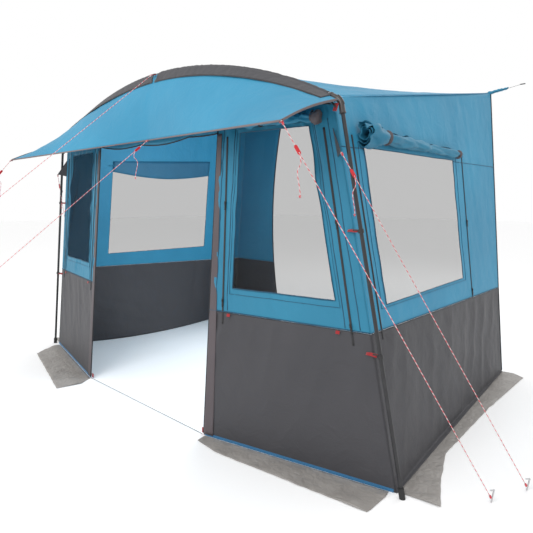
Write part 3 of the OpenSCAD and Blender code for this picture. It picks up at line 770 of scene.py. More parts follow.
header_cloth = creased(
    header_place, lambda p: crease(p, 0.004, 0.12, (0, 0.1, 1), 8) + billow(p, 0.004, 0.2)
)
header = warp(
    "header_cloth", spaced([0, 1], 1 / 80), spaced([0, 1], 1 / 24), header_cloth, size=(1.28, 0.4)
)
sew(header, sky_cloth, "sky", covers=["door_header"])
welt(
    "header_piping", header_cloth, [(0, 0), (1, 0)], 0.0035, black_tape, "sky", lift=0.0, flat=1.0
)

# ---- Side walls ----
# Sky-blue above a horizontal seam, grey below it. Each has a screen window framed by a
# dark welt, and the right one has a zip ahead of its window and another behind it.
WALL_TOP_DROP = 0.004
SIDE_SILL, SIDE_HEAD = 0.815, 1.566
SIDE_ZIP_Y, FRONT_SIDE_ZIP_Y = ARCH_Y + 1.426, ARCH_Y + 0.120
SCREEN_BACK = 0.0018
SILL_ROW, HEAD_ROW = 0.20, 0.75
side_windows = {"right": (0.205, 1.070), "left": (0.440, 1.100)}


def wall_front_x(z):
    return FOOT_HALF - WALL_IN - (FOOT_HALF - WALL_IN - ELBOW_HALF) * z / ELBOW_H


def wall_rear_x(z):
    return REAR_FOOT_HALF - (REAR_FOOT_HALF - REAR_TOP_HALF) * z / REAR_H


def along_wall(y):
    return (y - WALL_Y) / (REAR_Y - WALL_Y)


def wall_x(y, z):
    return mix(wall_front_x(z), wall_rear_x(z), along_wall(y))


def wall_top(y):
    return mix(ELBOW_H, REAR_H, along_wall(y)) - WALL_TOP_DROP


def seam_h(y):
    return mix(BASE_H, BASE_REAR_H, along_wall(y))


def beside(gap, wide):
    """0 on a line that a zip holds flat, up to 1 at a distance from it."""
    return min(1.0, max(0.0, abs(gap) / wide - 0.4))


def wall_relief(p):
    front = max(0.0, 1 - (p.y - WALL_Y) / 0.5)
    high = max(0.0, (p.z - 1.1) / 0.8)
    return (
        billow(p, 0.007, 0.55, 11)
        + crease(p, 0.007, 0.13, (0, 0.22, -1), 12) * (0.35 + 0.8 * front)
        + crease(p, 0.005, 0.22, (0, 1, 0.25), 13) * (0.3 + 0.5 * high)
        + billow(p, 0.0025, 0.09, 14)
    ) * beside(p.y - SIDE_ZIP_Y, 0.03) * beside(p.y - FRONT_SIDE_ZIP_Y, 0.03)


def side_wall(side):
    """Wall surface: u runs to the right as seen from outside, w from the seam up."""

    def place(u, w):
        t = u if side > 0 else 1 - u
        y = mix(WALL_Y, REAR_Y, t)
        z = mix(seam_h(y), wall_top(y), w)
        return hand_side((wall_x(y, z), y, z), side)

    return creased(place, lambda p: wall_relief(Vector((abs(p.x), p.y, p.z))), fade=0.05)


def wall_uw(y, z, side):
    t = along_wall(y)
    return (t if side > 0 else 1 - t), (z - seam_h(y)) / (wall_top(y) - seam_h(y))


def screen(name, colour, alpha):
    """Fine netting: fogged, see-through, with a thread every millimetre or so."""
    made, shader = new_material(name, colour, 0.9)
    coords = made.node_tree.nodes.new("ShaderNodeTexCoord")
    cloud = node(
        made, "ShaderNodeTexNoise", Vector=coords.outputs["Object"], Scale=7.0, Detail=6.0
    )
    dark = tuple(0.8 * c for c in colour)
    link(
        made, blend_colours(made, cloud.outputs[0], colour, dark), shader.inputs["Base Color"]
    )
    net = node(
        made, "ShaderNodeTexNoise", Vector=coords.outputs["UV"], Scale=420.0, Detail=1.0
    )
    bump = node(made, "ShaderNodeBump", Height=net.outputs[0], Strength=0.03, Distance=0.0002)
    link(made, bump.outputs[0], shader.inputs["Normal"])
    shader.inputs["Specular IOR Level"].default_value = 0.15
    shader.inputs["Alpha"].default_value = alpha
    return made


clear_screen = screen("clear_screen", (0.02, 0.02, 0.02), 0.285)
seam_thread = taffeta("seam_thread", (0.012, 0.075, 0.13), (0.01, 0.06, 0.11), 0.7)


def window_frame(tag, place, uws, slot="sky"):
    """A dark welt round a window's edge and a line of stitching outside it."""
    loop = uws + [uws[0]]
    welt(f"window_edge_{tag}", place, loop, 0.0032, seam_thread, slot)
    cu = sum(p[0] for p in uws) / 4
    cw = sum(p[1] for p in uws) / 4
    outer = [(cu + (u - cu) * 1.09, cw + (w - cw) * 1.09) for u, w in loop]
    welt(f"window_stitch_{tag}", place, outer, 0.0014, seam_thread, slot)


for side, hand in ((1, "right"), (-1, "left")):
    place = side_wall(side)
    start, long = side_windows[hand]
    y0, y1 = ARCH_Y + start, ARCH_Y + start + long
    # Window edges follow lines of equal depth and height, so the cells are cut there
    us = spaced(sorted([0, 1, wall_uw(y0, 1, side)[0], wall_uw(y1, 1, side)[0]]), 1 / 130)

    def bent(u, w, side=side, place=place):
        """Rows that pass through the sill and the head at every depth."""
        t = u if side > 0 else 1 - u
        y = mix(WALL_Y, REAR_Y, t)
        low, high = wall_uw(y, SIDE_SILL, side)[1], wall_uw(y, SIDE_HEAD, side)[1]
        if w <= SILL_ROW:
            w = low * w / SILL_ROW
        elif w <= HEAD_ROW:
            w = mix(low, high, (w - SILL_ROW) / (HEAD_ROW - SILL_ROW))
        else:
            w = mix(high, 1, (w - HEAD_ROW) / (1 - HEAD_ROW))
        return place(u, w)

    u_low, u_high = sorted((wall_uw(y0, 1, side)[0], wall_uw(y1, 1, side)[0]))
    wall = warp(
        f"wall_cloth_{hand}",
        us,
        spaced([0, SILL_ROW, HEAD_ROW, 1], 1 / 90),
        bent,
        keep=lambda u, w: not (u_low < u < u_high and SILL_ROW < w < HEAD_ROW),
        size=(2.05, 1.3),
    )
    sew(wall, sky_cloth, "sky", covers=[f"wall_{hand}"])

    inner = warp(
        f"screen_{hand}",
        spaced([u_low, u_high], 1 / 60),
        spaced([SILL_ROW, HEAD_ROW], 1 / 50),
        lifted(bent, -SCREEN_BACK),
        size=(2.05, 1.3),
    )
    sew(inner, clear_screen, "film", covers=[f"window_{hand}"], t=0.0006)
    corners = [(u_low, SILL_ROW), (u_high, SILL_ROW), (u_high, HEAD_ROW), (u_low, HEAD_ROW)]
    window_frame(hand, bent, corners)
    welt(f"wall_seam_{hand}", bent, [(0, 0.004), (1, 0.004)], 0.004, seam_thread, "sky")
    rear_u = 0.998 if side > 0 else 0.002
    welt(f"wall_rear_hem_{hand}", bent, [(rear_u, 0), (rear_u, 1)], 0.005, black_tape, "web")
    for k, across_u in enumerate(((0, u_low), (u_high, 1))):
        level = [(u, HEAD_ROW - 0.005) for u in across_u]
        welt(f"wall_tape_seam_{hand}_{k}", bent, level, 0.002, seam_thread, "sky")

# Painted shadow: a dark band of cloth just inside the left wall stands for the shadow of its
# rolled cover seen through the cloth, and dips over the head of the screen
HEAD_DIP, HEAD_BAND_BACK, HEAD_BAND_ROW = 0.035, 0.005, 0.83


def head_shadow_band(u, w):
    low = HEAD_ROW - HEAD_DIP * sin(pi * (u - u_low) / (u_high - u_low))
    return lifted(bent, -HEAD_BAND_BACK)(u, mix(low, HEAD_BAND_ROW, w))


band = warp(
    "head_shadow_band",
    spaced([u_low, u_high], 1 / 60),
    spaced([0, 1], 1 / 6),
    head_shadow_band,
    size=(2.05, 0.1),
)
sew(band, painted_shadow_cloth, "sky")

# ---- Rear flap ----
# The left of the rear opening is closed by a flap with a piped edge that bows in.
FLAP_IN, FLAP_BOW = 0.900, 0.120


def flap_at(z0, z1):
    def place(u, w):
        z = mix(z0, z1, w)
        edge = FLAP_IN - FLAP_BOW * (2 * z / REAR_H - 1) ** 2
        return hand_side((mix(edge, wall_rear_x(z) - 0.004, u), REAR_Y - 0.007, z), -1)

    return creased(
        place,
        lambda p: crease(p, 0.006, 0.12, (0.1, 0, 1), 61) + billow(p, 0.004, 0.25, 62) - 0.004,
        fade=0.08,
    )


for tag, z0, z1, finish, slot, hangs in (
    ("high", BASE_REAR_H, REAR_H - 0.004, sky_cloth, "sky", "wall_left"),
    ("low", 0.003, BASE_REAR_H - 0.001, grey_cloth, "grey", "wall_base_left"),
):
    place = flap_at(z0, z1)
    flap = warp(
        f"flap_{tag}", spaced([0, 1], 1 / 40), spaced([0, 1], 1 / 80), place, size=(0.6, z1 - z0)
    )
    sew(flap, finish, slot)
    welt(f"flap_edge_{tag}", place, [(0.002, 0.002), (0.002, 0.998)], 0.006, black_tape, "web")
    welt(f"flap_seam_{tag}", place, [(0.5, 0.01), (0.5, 0.99)], 0.003, seam_thread, slot)
welt("flap_foot", place, [(0.01, 0.998), (0.99, 0.998)], 0.003, seam_thread, "sky")
welt(
    "flap_cross_seam",
    flap_at(BASE_REAR_H, REAR_H),
    [(0.5, 0.645), (0.99, 0.645)],
    0.003,
    seam_thread,
    "sky",
)

# ---- Lower walls ----
# Grey cloth from the seam to the ground, sagging inwards at the foot.
BELLY = {"right": 0.020, "left": 0.240}


def base_wall(side, belly):
    def place(u, w):
        t = u if side > 0 else 1 - u
        y = mix(WALL_Y, REAR_Y, t)
        z = mix(0.002, seam_h(y) - 0.001, w)
        sag = belly * sin(pi * t**0.75) * (1 - w) ** 1.4
        return hand_side((wall_x(y, z) - sag, y, z), side)

    def relief(p):
        p = Vector((abs(p.x), p.y, p.z))
        return (
            billow(p, 0.010, 0.35, 21)
            + crease(p, 0.007, 0.16, (0, 0.3, 1), 22)
            + crease(p, 0.004, 0.2, (0, 1, -0.3), 23)
            + billow(p, 0.003, 0.08, 24)
        )

    hung = creased(place, relief, fade=0.05)

    def made(u, w):
        """The foot runs out flat along the ground below w = 0, to the skirt's seam."""
        if w >= 0:
            return hung(u, w)
        t = u if side > 0 else 1 - u
        y = mix(WALL_Y, REAR_Y, t)
        foot = wall_x(y, 0) - belly * sin(pi * t**0.75)
        return hand_side((mix(foot, wall_x(y, 0) + 0.005, -w / 0.08), y, 0.0024), side)

    return made


for side, hand in ((1, "right"), (-1, "left")):
    place = base_wall(side, BELLY[hand])
    base = warp(
        f"base_cloth_{hand}",
        spaced([0, 1], 1 / 130),
        spaced([-0.08, 0, 1], 1 / 60),
        place,
        size=(2.04, 0.7),
    )
    sew(base, grey_cloth, "grey", covers=[f"wall_base_{hand}"])
    rear_u = 0.998 if side > 0 else 0.002
    welt(f"base_rear_hem_{hand}", place, [(rear_u, 0.01), (rear_u, 1)], 0.005, black_tape, "web")

# ---- Front panels ----
# Two angled panels from the corner poles to the doorway: a grey base, a zipped screen
# in a sky-blue surround, and a grey binding folded over the door edge.
FRONT_SILL, FRONT_HEAD, WIN_IN, WIN_OUT = 0.845, 1.664, 0.155, 0.155
FRONT_CORNER_Y = WALL_Y - 0.002
FLAT_FOOT_H = 0.45


def post_at(z):
    t = z / DOOR_H
    return Vector(
        (mix(DOOR_HALF, DOOR_TOP_HALF, t), ARCH_Y - mix(BAY_OUT, BAY_TOP_OUT, t), z)
    )


def corner_at(z):
    return Vector((wall_front_x(z), FRONT_CORNER_Y, z))


def facet_at(u, z):
    return post_at(z).lerp(corner_at(z), u)


def facet_top(u):
    x = mix(DOOR_TOP_HALF - 0.015, ELBOW_HALF - 0.002, u)
    return Vector((x, mix(ARCH_Y, FRONT_CORNER_Y, u), arch_z(x) - 0.016))


FRONT_SILL_ROW, FRONT_HEAD_ROW = 0.12, 0.76
FRONT_ROWS = (0.0, FRONT_SILL_ROW, FRONT_HEAD_ROW, 0.80, 1.0)
FRONT_ZIP_U = 0.108 / (corner_at(0) - post_at(0)).length


def front_relief(p):
    post, corner = post_at(p.z), corner_at(p.z)
    across = (p.x - post.x) / (corner.x - post.x)
    near_corner = max(0.0, 1 - (Vector((ELBOW_HALF, ARCH_Y, ELBOW_H)) - p).length / 0.9)
    return (
        crease(p, 0.014, 0.050, (0.34, 0.02, -1), 31) * (0.45 + near_corner)
        + crease(p, 0.009, 0.11, (0.6, 0, -1), 32)
        + billow(p, 0.005, 0.3, 33)
        + billow(p, 0.002, 0.07, 34)
    ) * beside(across - FRONT_ZIP_U, 0.03) * beside(across - 1 + FRONT_ZIP_U, 0.03)


def front_panel(side):
    """u from the left as seen from the front, w through the rows of the panel."""

    def flat(u, w):
        t = u if side > 0 else 1 - u
        heights = (BASE_H, FRONT_SILL, FRONT_HEAD, DOOR_H)
        for k in range(3):
            if w <= FRONT_ROWS[k + 1]:
                part = (w - FRONT_ROWS[k]) / (FRONT_ROWS[k + 1] - FRONT_ROWS[k])
                z = mix(heights[k], heights[k + 1], part)
                return hand_side(facet_at(t, z), side)
        part = (w - FRONT_ROWS[3]) / (1 - FRONT_ROWS[3])
        return hand_side(facet_at(t, DOOR_H).lerp(facet_top(t), part), side)

    return creased(flat, lambda p: front_relief(Vector((abs(p.x), p.y, p.z))), fade=0.05)


def window_u(w):
    share = (w - FRONT_SILL_ROW) / (FRONT_HEAD_ROW - FRONT_SILL_ROW)
    z = mix(FRONT_SILL, FRONT_HEAD, share)
    long = (corner_at(z) - post_at(z)).length
    return WIN_IN / long, 1 - WIN_OUT / long


PANE_LOW, PANE_HIGH = 0.2, 0.8
FRONT_STOPS = (0.0, PANE_LOW, PANE_HIGH, 1.0)


def windowed(place, side):
    """Columns slide so that the second and third stops follow the window's sides."""

    def made(u, w):
        low, high = window_u(min(max(w, FRONT_SILL_ROW), FRONT_HEAD_ROW))
        t = u if side > 0 else 1 - u
        if t <= PANE_LOW:
            t = low * t / PANE_LOW
        elif t <= PANE_HIGH:
            t = mix(low, high, (t - PANE_LOW) / (PANE_HIGH - PANE_LOW))
        else:
            t = mix(high, 1, (t - PANE_HIGH) / (1 - PANE_HIGH))
        return place(t if side > 0 else 1 - t, w)

    return made


def in_front_window(u, w):
    return PANE_LOW < u < PANE_HIGH and FRONT_SILL_ROW < w < FRONT_HEAD_ROW


dark_mesh = screen("dark_mesh", (0.006, 0.013, 0.022), 0.62)
binding_grey = taffeta("binding_grey", (0.095, 0.078, 0.085), (0.075, 0.062, 0.068), 0.7)
for side, hand, pane, pane_material, pane_slot in (
    (1, "right", "window_front", clear_screen, "film"),
    (-1, "left", "mesh_window", dark_mesh, "mesh"),
):
    place = windowed(front_panel(side), side)
    front = warp(
        f"front_cloth_{hand}",
        spaced(list(FRONT_STOPS), 1 / 80),
        spaced(list(FRONT_ROWS), 1 / 90),
        place,
        keep=lambda u, w: not in_front_window(u, w),
        size=(0.95, 1.2),
    )
    # The front panels take the darker copy of the sky cloth, as painted shade.
    sew(front, sky_cloth_painted_shade, "sky", covers=[f"front_{hand}"])
    inner = warp(
        f"pane_{hand}",
        spaced([PANE_LOW, PANE_HIGH], 1 / 60),
        spaced([FRONT_SILL_ROW, FRONT_HEAD_ROW], 1 / 60),
        lifted(place, -SCREEN_BACK),
        size=(0.95, 1.2),
    )
    sew(inner, pane_material, pane_slot, covers=[pane], t=0.0006)
    corners = [
        (PANE_LOW, FRONT_SILL_ROW),
        (PANE_HIGH, FRONT_SILL_ROW),
        (PANE_HIGH, FRONT_HEAD_ROW),
        (PANE_LOW, FRONT_HEAD_ROW),
    ]
    window_frame(f"front_{hand}", place, corners)
    # Long seams beside the zips, and the felled seam along the base
    for k, t in enumerate((0.06, 0.155, 0.845, 0.94)):
        u = t if side > 0 else 1 - t
        welt(
            f"front_seam_{hand}_{k}",
            place,
            [(u, 0.01), (u, 0.80)],
            0.0022,
            seam_thread,
            "sky",
        )
    welt(f"front_base_seam_{hand}", place, [(0, 0.003), (1, 0.003)], 0.004, seam_thread, "sky")
    edge_points = [hand_side(post_at(mix(0.012, DOOR_H - 0.004, k / 60)), side) for k in range(61)]
    fit(tube(f"door_edge_{hand}", edge_points, 0.004, sides=10), black_tape, "web")

    def bound(u, w, side=side):
        z = mix(0.010, DOOR_H - 0.02, w)
        t = mix(0.003, 0.062 - 0.018 * w, u if side > 0 else 1 - u)
        stand = 0.0035 + 0.0008 * noise.noise(Vector((z * 6, t * 30, 3)))
        return hand_side(facet_at(t, z) + Vector((0.2, -1, 0)).normalized() * stand, side)

    binding = warp(
        f"door_binding_{hand}",
        spaced([0, 1], 1 / 6),
        spaced([0, 1], 1 / 90),
        bound,
        size=(0.05, 1.7),
    )
    sew(binding, binding_grey, "grey", t=0.001)

    def base_place(u, w, side=side):
        t = u if side > 0 else 1 - u
        return hand_side(facet_at(t, mix(0.002, BASE_H - 0.001, w)), side)

    def base_relief(p):
        p = Vector((abs(p.x), p.y, p.z))
        # Flat at the foot, where the skirt folds up against the panel
        return (
            billow(p, 0.008, 0.35, 41)
            + crease(p, 0.006, 0.14, (0.2, 0, 1), 42)
            + crease(p, 0.003, 0.2, (1, 0.2, 0.3), 43)
            + billow(p, 0.002, 0.07, 44)
        ) * min(1.0, (p.z / FLAT_FOOT_H) ** 1.2)

    lower = warp(
        f"front_base_cloth_{hand}",
        spaced([0, 1], 1 / 90),
        spaced([0, 1], 1 / 60),
        creased(base_place, base_relief, fade=0.06),
        size=(1.09, 0.71),
    )
    sew(lower, grey_cloth, "grey", covers=[f"front_base_{hand}"])

# ---- Zips and hem tape ----
# Coil zips on black tape, and blue woven tape along the foot of the front panels.


def zip_finish(name):
    made, shader = new_material(name, (0.012, 0.012, 0.013), 0.5)
    coords = made.node_tree.nodes.new("ShaderNodeTexCoord")
    teeth = made.node_tree.nodes.new("ShaderNodeTexWave")
    teeth.bands_direction = "Z"
    link(made, coords.outputs["Object"], teeth.inputs["Vector"])
    teeth.inputs["Scale"].default_value = 130.0
    bump = node(
        made, "ShaderNodeBump", Height=teeth.outputs["Fac"], Strength=0.8, Distance=0.0008
    )
    link(made, bump.outputs[0], shader.inputs["Normal"])
    # Lighter on the teeth's crests, where the bump is high: a painted highlight.
    painted_tooth_highlight = blend_colours(
        made, teeth.outputs["Fac"], (0.008, 0.008, 0.009), (0.035, 0.035, 0.038)
    )
    link(made, painted_tooth_highlight, shader.inputs["Base Color"])
    return made


zip_black = zip_finish("zip_black")
ZIP_W, ZIP_LOW, ZIP_HIGH = 0.011, 0.645, 1.650


def coil_zip(name, cad_node, a, b, across):
    """A closed zip: its coil stands proud between narrow tapes."""
    a, b, across = Vector(a), Vector(b), Vector(across).normalized()
    out = across.cross(b - a).normalized()

    def place(u, w):
        dome = 0.0018 * max(0.0, 1 - (2.6 * (2 * u - 1)) ** 2) ** 0.5
        return a.lerp(b, w) + across * (u - 0.5) * ZIP_W + out * (0.0024 + dome)

    made = warp(name, spaced([0, 1], 1 / 10), spaced([0, 1], 1 / 60), place, size=(ZIP_W, 1.0))
    sew(made, zip_black, "zip", covers=[cad_node], t=0.0008)


for side, hand in ((1, "right"), (-1, "left")):
    for k, t in enumerate((FRONT_ZIP_U, 1 - FRONT_ZIP_U)):
        ends = [hand_side(facet_at(t, z), side) for z in (ZIP_LOW, ZIP_HIGH)]
        run = hand_side(corner_at(1) - post_at(1), side) * side
        coil_zip(f"front_zip_{hand}_{k}", "front_zips", *ends, run)
for k, y in enumerate((SIDE_ZIP_Y, FRONT_SIDE_ZIP_Y)):
    ends = [(wall_x(y, z), y, z) for z in (ZIP_LOW + 0.02, ZIP_HIGH - 0.03)]
    coil_zip(f"side_zip_{k}", "side_zips", *ends, (0, 1, 0))
slider_enamel = powder_coat("slider_enamel", (0.012, 0.012, 0.012), 0.25)
for cad_node in [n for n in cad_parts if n.startswith("slider")]:
    paint(cad_node, slider_enamel)


def webbing(name, colour, roughness=0.75):
    """Woven webbing: ribs across it and a coarse thread."""
    made, shader = new_material(name, colour, roughness)
    coords = made.node_tree.nodes.new("ShaderNodeTexCoord")
    ribs = None
    for direction in ("X", "Z"):
        wave = made.node_tree.nodes.new("ShaderNodeTexWave")
        wave.bands_direction = direction
        link(made, coords.outputs["Object"], wave.inputs["Vector"])
        wave.inputs["Scale"].default_value = 150.0
        wave.inputs["Distortion"].default_value = 1.0
        ribs = wave.outputs["Fac"] if ribs is None else maths(
            made, "MULTIPLY", ribs, wave.outputs["Fac"]
        )
    bump = node(made, "ShaderNodeBump", Height=ribs, Strength=0.6, Distance=0.0006)
    link(made, bump.outputs[0], shader.inputs["Normal"])
    # Darker in the hollows between the ribs, where the bump is low: painted shade.
    dark = tuple(0.6 * c for c in colour)
    link(made, blend_colours(made, ribs, dark, colour), shader.inputs["Base Color"])
    shader.inputs["Sheen Weight"].default_value = 0.2
    return made


hem_blue = webbing("hem_blue", (0.03, 0.20, 0.42))
paint("hem_tape", hem_blue)

# ---- Rolled window covers ----
# Each cover is a sheet of the shell cloth rolled up above its window, fuller at its
# front end, and tied with a loop of grey webbing.


def roll(name, a, b, r_front, r_rear, turns, node_name, flat, seed, ties, bundle=0.0):
    """bundle is how much fuller the loose end is, ahead of the first tie."""
    a, b = Vector(a), Vector(b)
    run = b - a
    along = run.normalized()
    side = Vector((0, 0, 1)) - along * along.z
    side.normalize()
    other = along.cross(side)

    def place(u, w):
        middle = a.lerp(b, u)
        loose = max(0.0, 1 - u / ties[0])
        r = mix(r_front, r_rear, u) * (0.86 if u > ties[0] else 1) + bundle * loose**0.5
        ring_r = r * (0.35 + 0.65 * w)
        turn = 2 * pi * turns * w + 0.9 * noise.noise(Vector((u * 3, seed, 0)))
        ripple = noise.noise(Vector((u * 12, cos(turn) * 1.3, sin(turn) * 1.3 + seed)))
        fold = abs(noise.noise(Vector((u * 8 + cos(turn), sin(turn) * 1.4, seed + 2))))
        ring_r *= 1 + (0.5 * ripple - 0.7 * fold) * (0.3 + 0.7 * w) * (1 + 0.6 * loose)
        ring_r *= 1 - sum(0.30 * max(0.0, 1 - abs(u - tie) / 0.04) for tie in ties)
        return middle + ring_r * (side * cos(turn) + other * sin(turn))

    made = warp(name, spaced([0, 1], 1 / 120), spaced([0, 1], 1 / (26 * turns)), place, size=flat)
    # The rolls take the darker copy of the sky cloth, as painted shade.
    sew(made, sky_cloth_painted_shade, "cover", covers=[node_name], t=0.001)
    for k, tie in enumerate((ties[0], ties[-1])):
        r = mix(r_front, r_rear, tie) * 0.74
        loop = [
            a.lerp(b, tie) + r * (side * cos(t * pi / 18) + other * sin(t * pi / 18))
            for t in range(37)
        ]
        fit(tube(f"{name}_tie_{k}", loop, 0.009, sides=8, flat=0.18), binding_grey, "cover")
    return made


ROLL_R1, ROLL_R2 = 0.046, 0.029
for side, hand in ((1, "right"), (-1, "left")):
    start, long = side_windows[hand]
    ends = []
    for y, z, r in (
        (ARCH_Y + start - 0.040, SIDE_HEAD + 0.062, ROLL_R1),
        (ARCH_Y + start + long + 0.060, SIDE_HEAD + 0.036, ROLL_R2),
    ):
        ends.append(hand_side((wall_x(y, z) + r + 0.003, y, z), side))
    roll(
        f"rolled_cover_{hand}",
        *ends,
        ROLL_R1,
        ROLL_R2,
        3,
        f"cover_{hand}",
        (1.18, 0.60),
        side * 3.1,
        (0.17, 0.60, 0.96),
        0.016,
    )

low, high = window_u(0.76)
front_roll_r = ROLL_R1 - 0.012
z = FRONT_HEAD + 0.044
back = Vector((0, -front_roll_r - 0.003, 0))
roll(
    "rolled_cover_front",
    facet_at(low + 0.02, z) + back,
    facet_at(high + 0.12, z - 0.012) + back,
    front_roll_r * 0.8,
    front_roll_r,
    3,
    "cover_front",
    (0.60, 0.50),
    7.7,
    (0.30, 0.80, 0.93),
)

# Its outer end is gathered into a lump of grey binding
LUMP_R, LUMP_GRAIN = 0.030, 38
lump_ends = [facet_at(t, z - 0.012) + back for t in (high + 0.085, high + 0.122)]
lump_middle = lump_ends[0].lerp(lump_ends[1], 0.5)
lump = tube("rolled_cover_front_end", straight(*lump_ends, 8), LUMP_R, sides=20)
for v in lump.data.vertices:
    swell = 1 + 0.35 * noise.noise(v.co * LUMP_GRAIN)
    v.co = lump_middle + (v.co - lump_middle) * swell
fit(lump, binding_grey, "cover")

# ---- Mud skirts ----
# Crumpled polyethylene sheet, sewn to the feet of the panels and spread on the ground.
SKIRT_W, SKIRT_GAP, FRONT_REACH = 0.190, 0.004, 0.490


def poly_sheet(name):
    made, shader = new_material(name, (0.22, 0.205, 0.19), 0.5)
    coords = made.node_tree.nodes.new("ShaderNodeTexCoord")
    crumple = made.node_tree.nodes.new("ShaderNodeTexVoronoi")
    crumple.feature = "DISTANCE_TO_EDGE"
    link(made, coords.outputs["Object"], crumple.inputs["Vector"])
    crumple.inputs["Scale"].default_value = 26.0
    fine = node(
        made, "ShaderNodeTexNoise", Vector=coords.outputs["Object"], Scale=60.0, Detail=6.0
    )
    first = node(
        made, "ShaderNodeBump", Height=crumple.outputs["Distance"], Strength=0.5, Distance=0.01
    )
    second = node(
        made,
        "ShaderNodeBump",
        Height=fine.outputs[0],
        Strength=0.5,
        Distance=0.004,
        Normal=first.outputs[0],
    )
    link(made, second.outputs[0], shader.inputs["Normal"])
    cloud = node(
        made, "ShaderNodeTexNoise", Vector=coords.outputs["Object"], Scale=9.0, Detail=5.0
    )
    tone = blend_colours(made, cloud.outputs[0], (0.21, 0.195, 0.182), (0.36, 0.34, 0.32))
    link(made, tone, shader.inputs["Base Color"])
    return made


skirt_sheet = poly_sheet("skirt_sheet")


def skirt(name, cad_node, a, b, outline, side):
    """A skirt from its hinge line a-b out to an outline of (distance along, width)."""
    a, b = Vector(a), Vector(b)
    long = (b - a).length
    along = (b - a).normalized()
    out = Vector((along.y, -along.x, 0))

    def width(s):
        for (s0, d0), (s1, d1) in zip(outline, outline[1:]):
            if s <= s1:
                return mix(d0, d1, (s - s0) / max(s1 - s0, 1e-6))
        return outline[-1][1]

    s_low, s_high = outline[0][0], outline[-1][0]

    def place(u, w):
        s = mix(s_low, s_high, u if side > 0 else 1 - u)
        reach = 1 - w
        d = width(s) * reach + 0.004 * noise.noise(Vector((s * 14, 5, 0))) * reach
        root = min(max(s, 0.0), long)
        p = a + along * mix(root, s, min(1, reach * 3)) + out * d
        fold = abs(noise.noise(Vector((s * 7, d * 5, 1.5)))) + 0.6 * abs(
            noise.noise(Vector((s * 17, d * 15, 4.5)))
        )
        # Low by the hinge, so that the skirt clears the leaning panel when it is folded up
        height = min(0.020, 0.002 + 0.06 * d)
        p.z = 0.0012 + height * fold * min(1, reach * 4) * (1 - 0.5 * reach**3)
        return hand_side(p, side)

    us = spaced([0, 1], 1 / max(60, int(120 * (s_high - s_low))))
    made = warp(name, us, spaced([0, 1], 1 / 18), place, size=(s_high - s_low, 0.2))
    sew(made, skirt_sheet, "skirt", body=cad_node, covers=[cad_node], t=0.0006)
    return made


side_a = (FOOT_HALF - WALL_IN + SKIRT_GAP, WALL_Y, 0)
side_b = (REAR_FOOT_HALF + SKIRT_GAP, REAR_Y, 0)
side_long = (Vector(side_b) - Vector(side_a)).length
side_outline = [
    (0.014, SKIRT_W),
    (0.237, SKIRT_W - 0.070),
    (0.496, SKIRT_W - 0.130),
    (1.212, SKIRT_W - 0.098),
    (side_long - 0.060, SKIRT_W - 0.031),
    (side_long, SKIRT_W - 0.110),
]
front_run = (corner_at(0) - post_at(0)).normalized()
front_out = Vector((front_run.y, -front_run.x, 0))
front_a = post_at(0) + front_out * SKIRT_GAP
front_b = corner_at(0) + front_out * SKIRT_GAP
front_long = (front_b - front_a).length
tip = Vector((DOOR_HALF - 0.024, ARCH_Y - FRONT_REACH, 0)) - front_a
tip_s, tip_d = tip.dot(front_run), tip.dot(front_out)
for side, hand in ((1, "right"), (-1, "left")):
    skirt(
        f"skirt_sheet_{hand}", f"skirt_{hand}", side_a, side_b, side_outline, side
    )
skirt(
    "skirt_sheet_front_right",
    "skirt_front_right",
    front_a,
    front_b,
    [
        (0.012, SKIRT_W - 0.125),
        (0.172, SKIRT_W - 0.069),
        (front_long - 0.062, SKIRT_W + 0.008),
        (front_long - 0.032, SKIRT_W - 0.143),
    ],
    1,
)
skirt(
    "skirt_sheet_front_left",
    "skirt_front_left",
    front_a,
    front_b,
    [
        (tip_s, tip_d),
        (front_long - 0.233, SKIRT_W + 0.034),
        (front_long - 0.060, SKIRT_W - 0.130),
    ],
    -1,
)

# ---- Fittings ----
# Red webbing tabs and leg straps, black moulded hooks on the legs, grey gussets for the
# pole guys, black rear straps out of gathered blue cloth, red tensioners with their
# spare rope, and zinc-plated pegs.
LEG_LEAN = 0.2115
red_web = webbing("red_web", (0.42, 0.008, 0.014))
paint("webbing_tabs", red_web)
hook_black = moulded("hook_black", (0.012, 0.012, 0.013), 0.4)
paint("pole_hooks", hook_black)
paint("rear_straps", webbing("strap_black", (0.02, 0.02, 0.022)))
for side, hand, heights in ((1, "right", (1.177, 0.621)), (-1, "left", (1.289, 0.669))):
    for k, z in enumerate(heights):
        strap_path = [
            Vector((FOOT_HALF - z * LEG_LEAN - 0.016, ARCH_Y - 0.001, z)),
            corner_at(z) + Vector((0.006, -0.012, 0)),
            facet_at(0.985, z) + Vector((0, -0.006, 0)),
            facet_at(0.965, z) + Vector((0, -0.005, 0)),
        ]
        strap_path = [hand_side(p, side) for p in strap_path]
        made = tube(f"hook_strap_{hand}_{k}", strap_path, 0.009, sides=10, flat=0.2)
        fit(made, red_web, "web")
paint("corner_patches", grey_cloth)

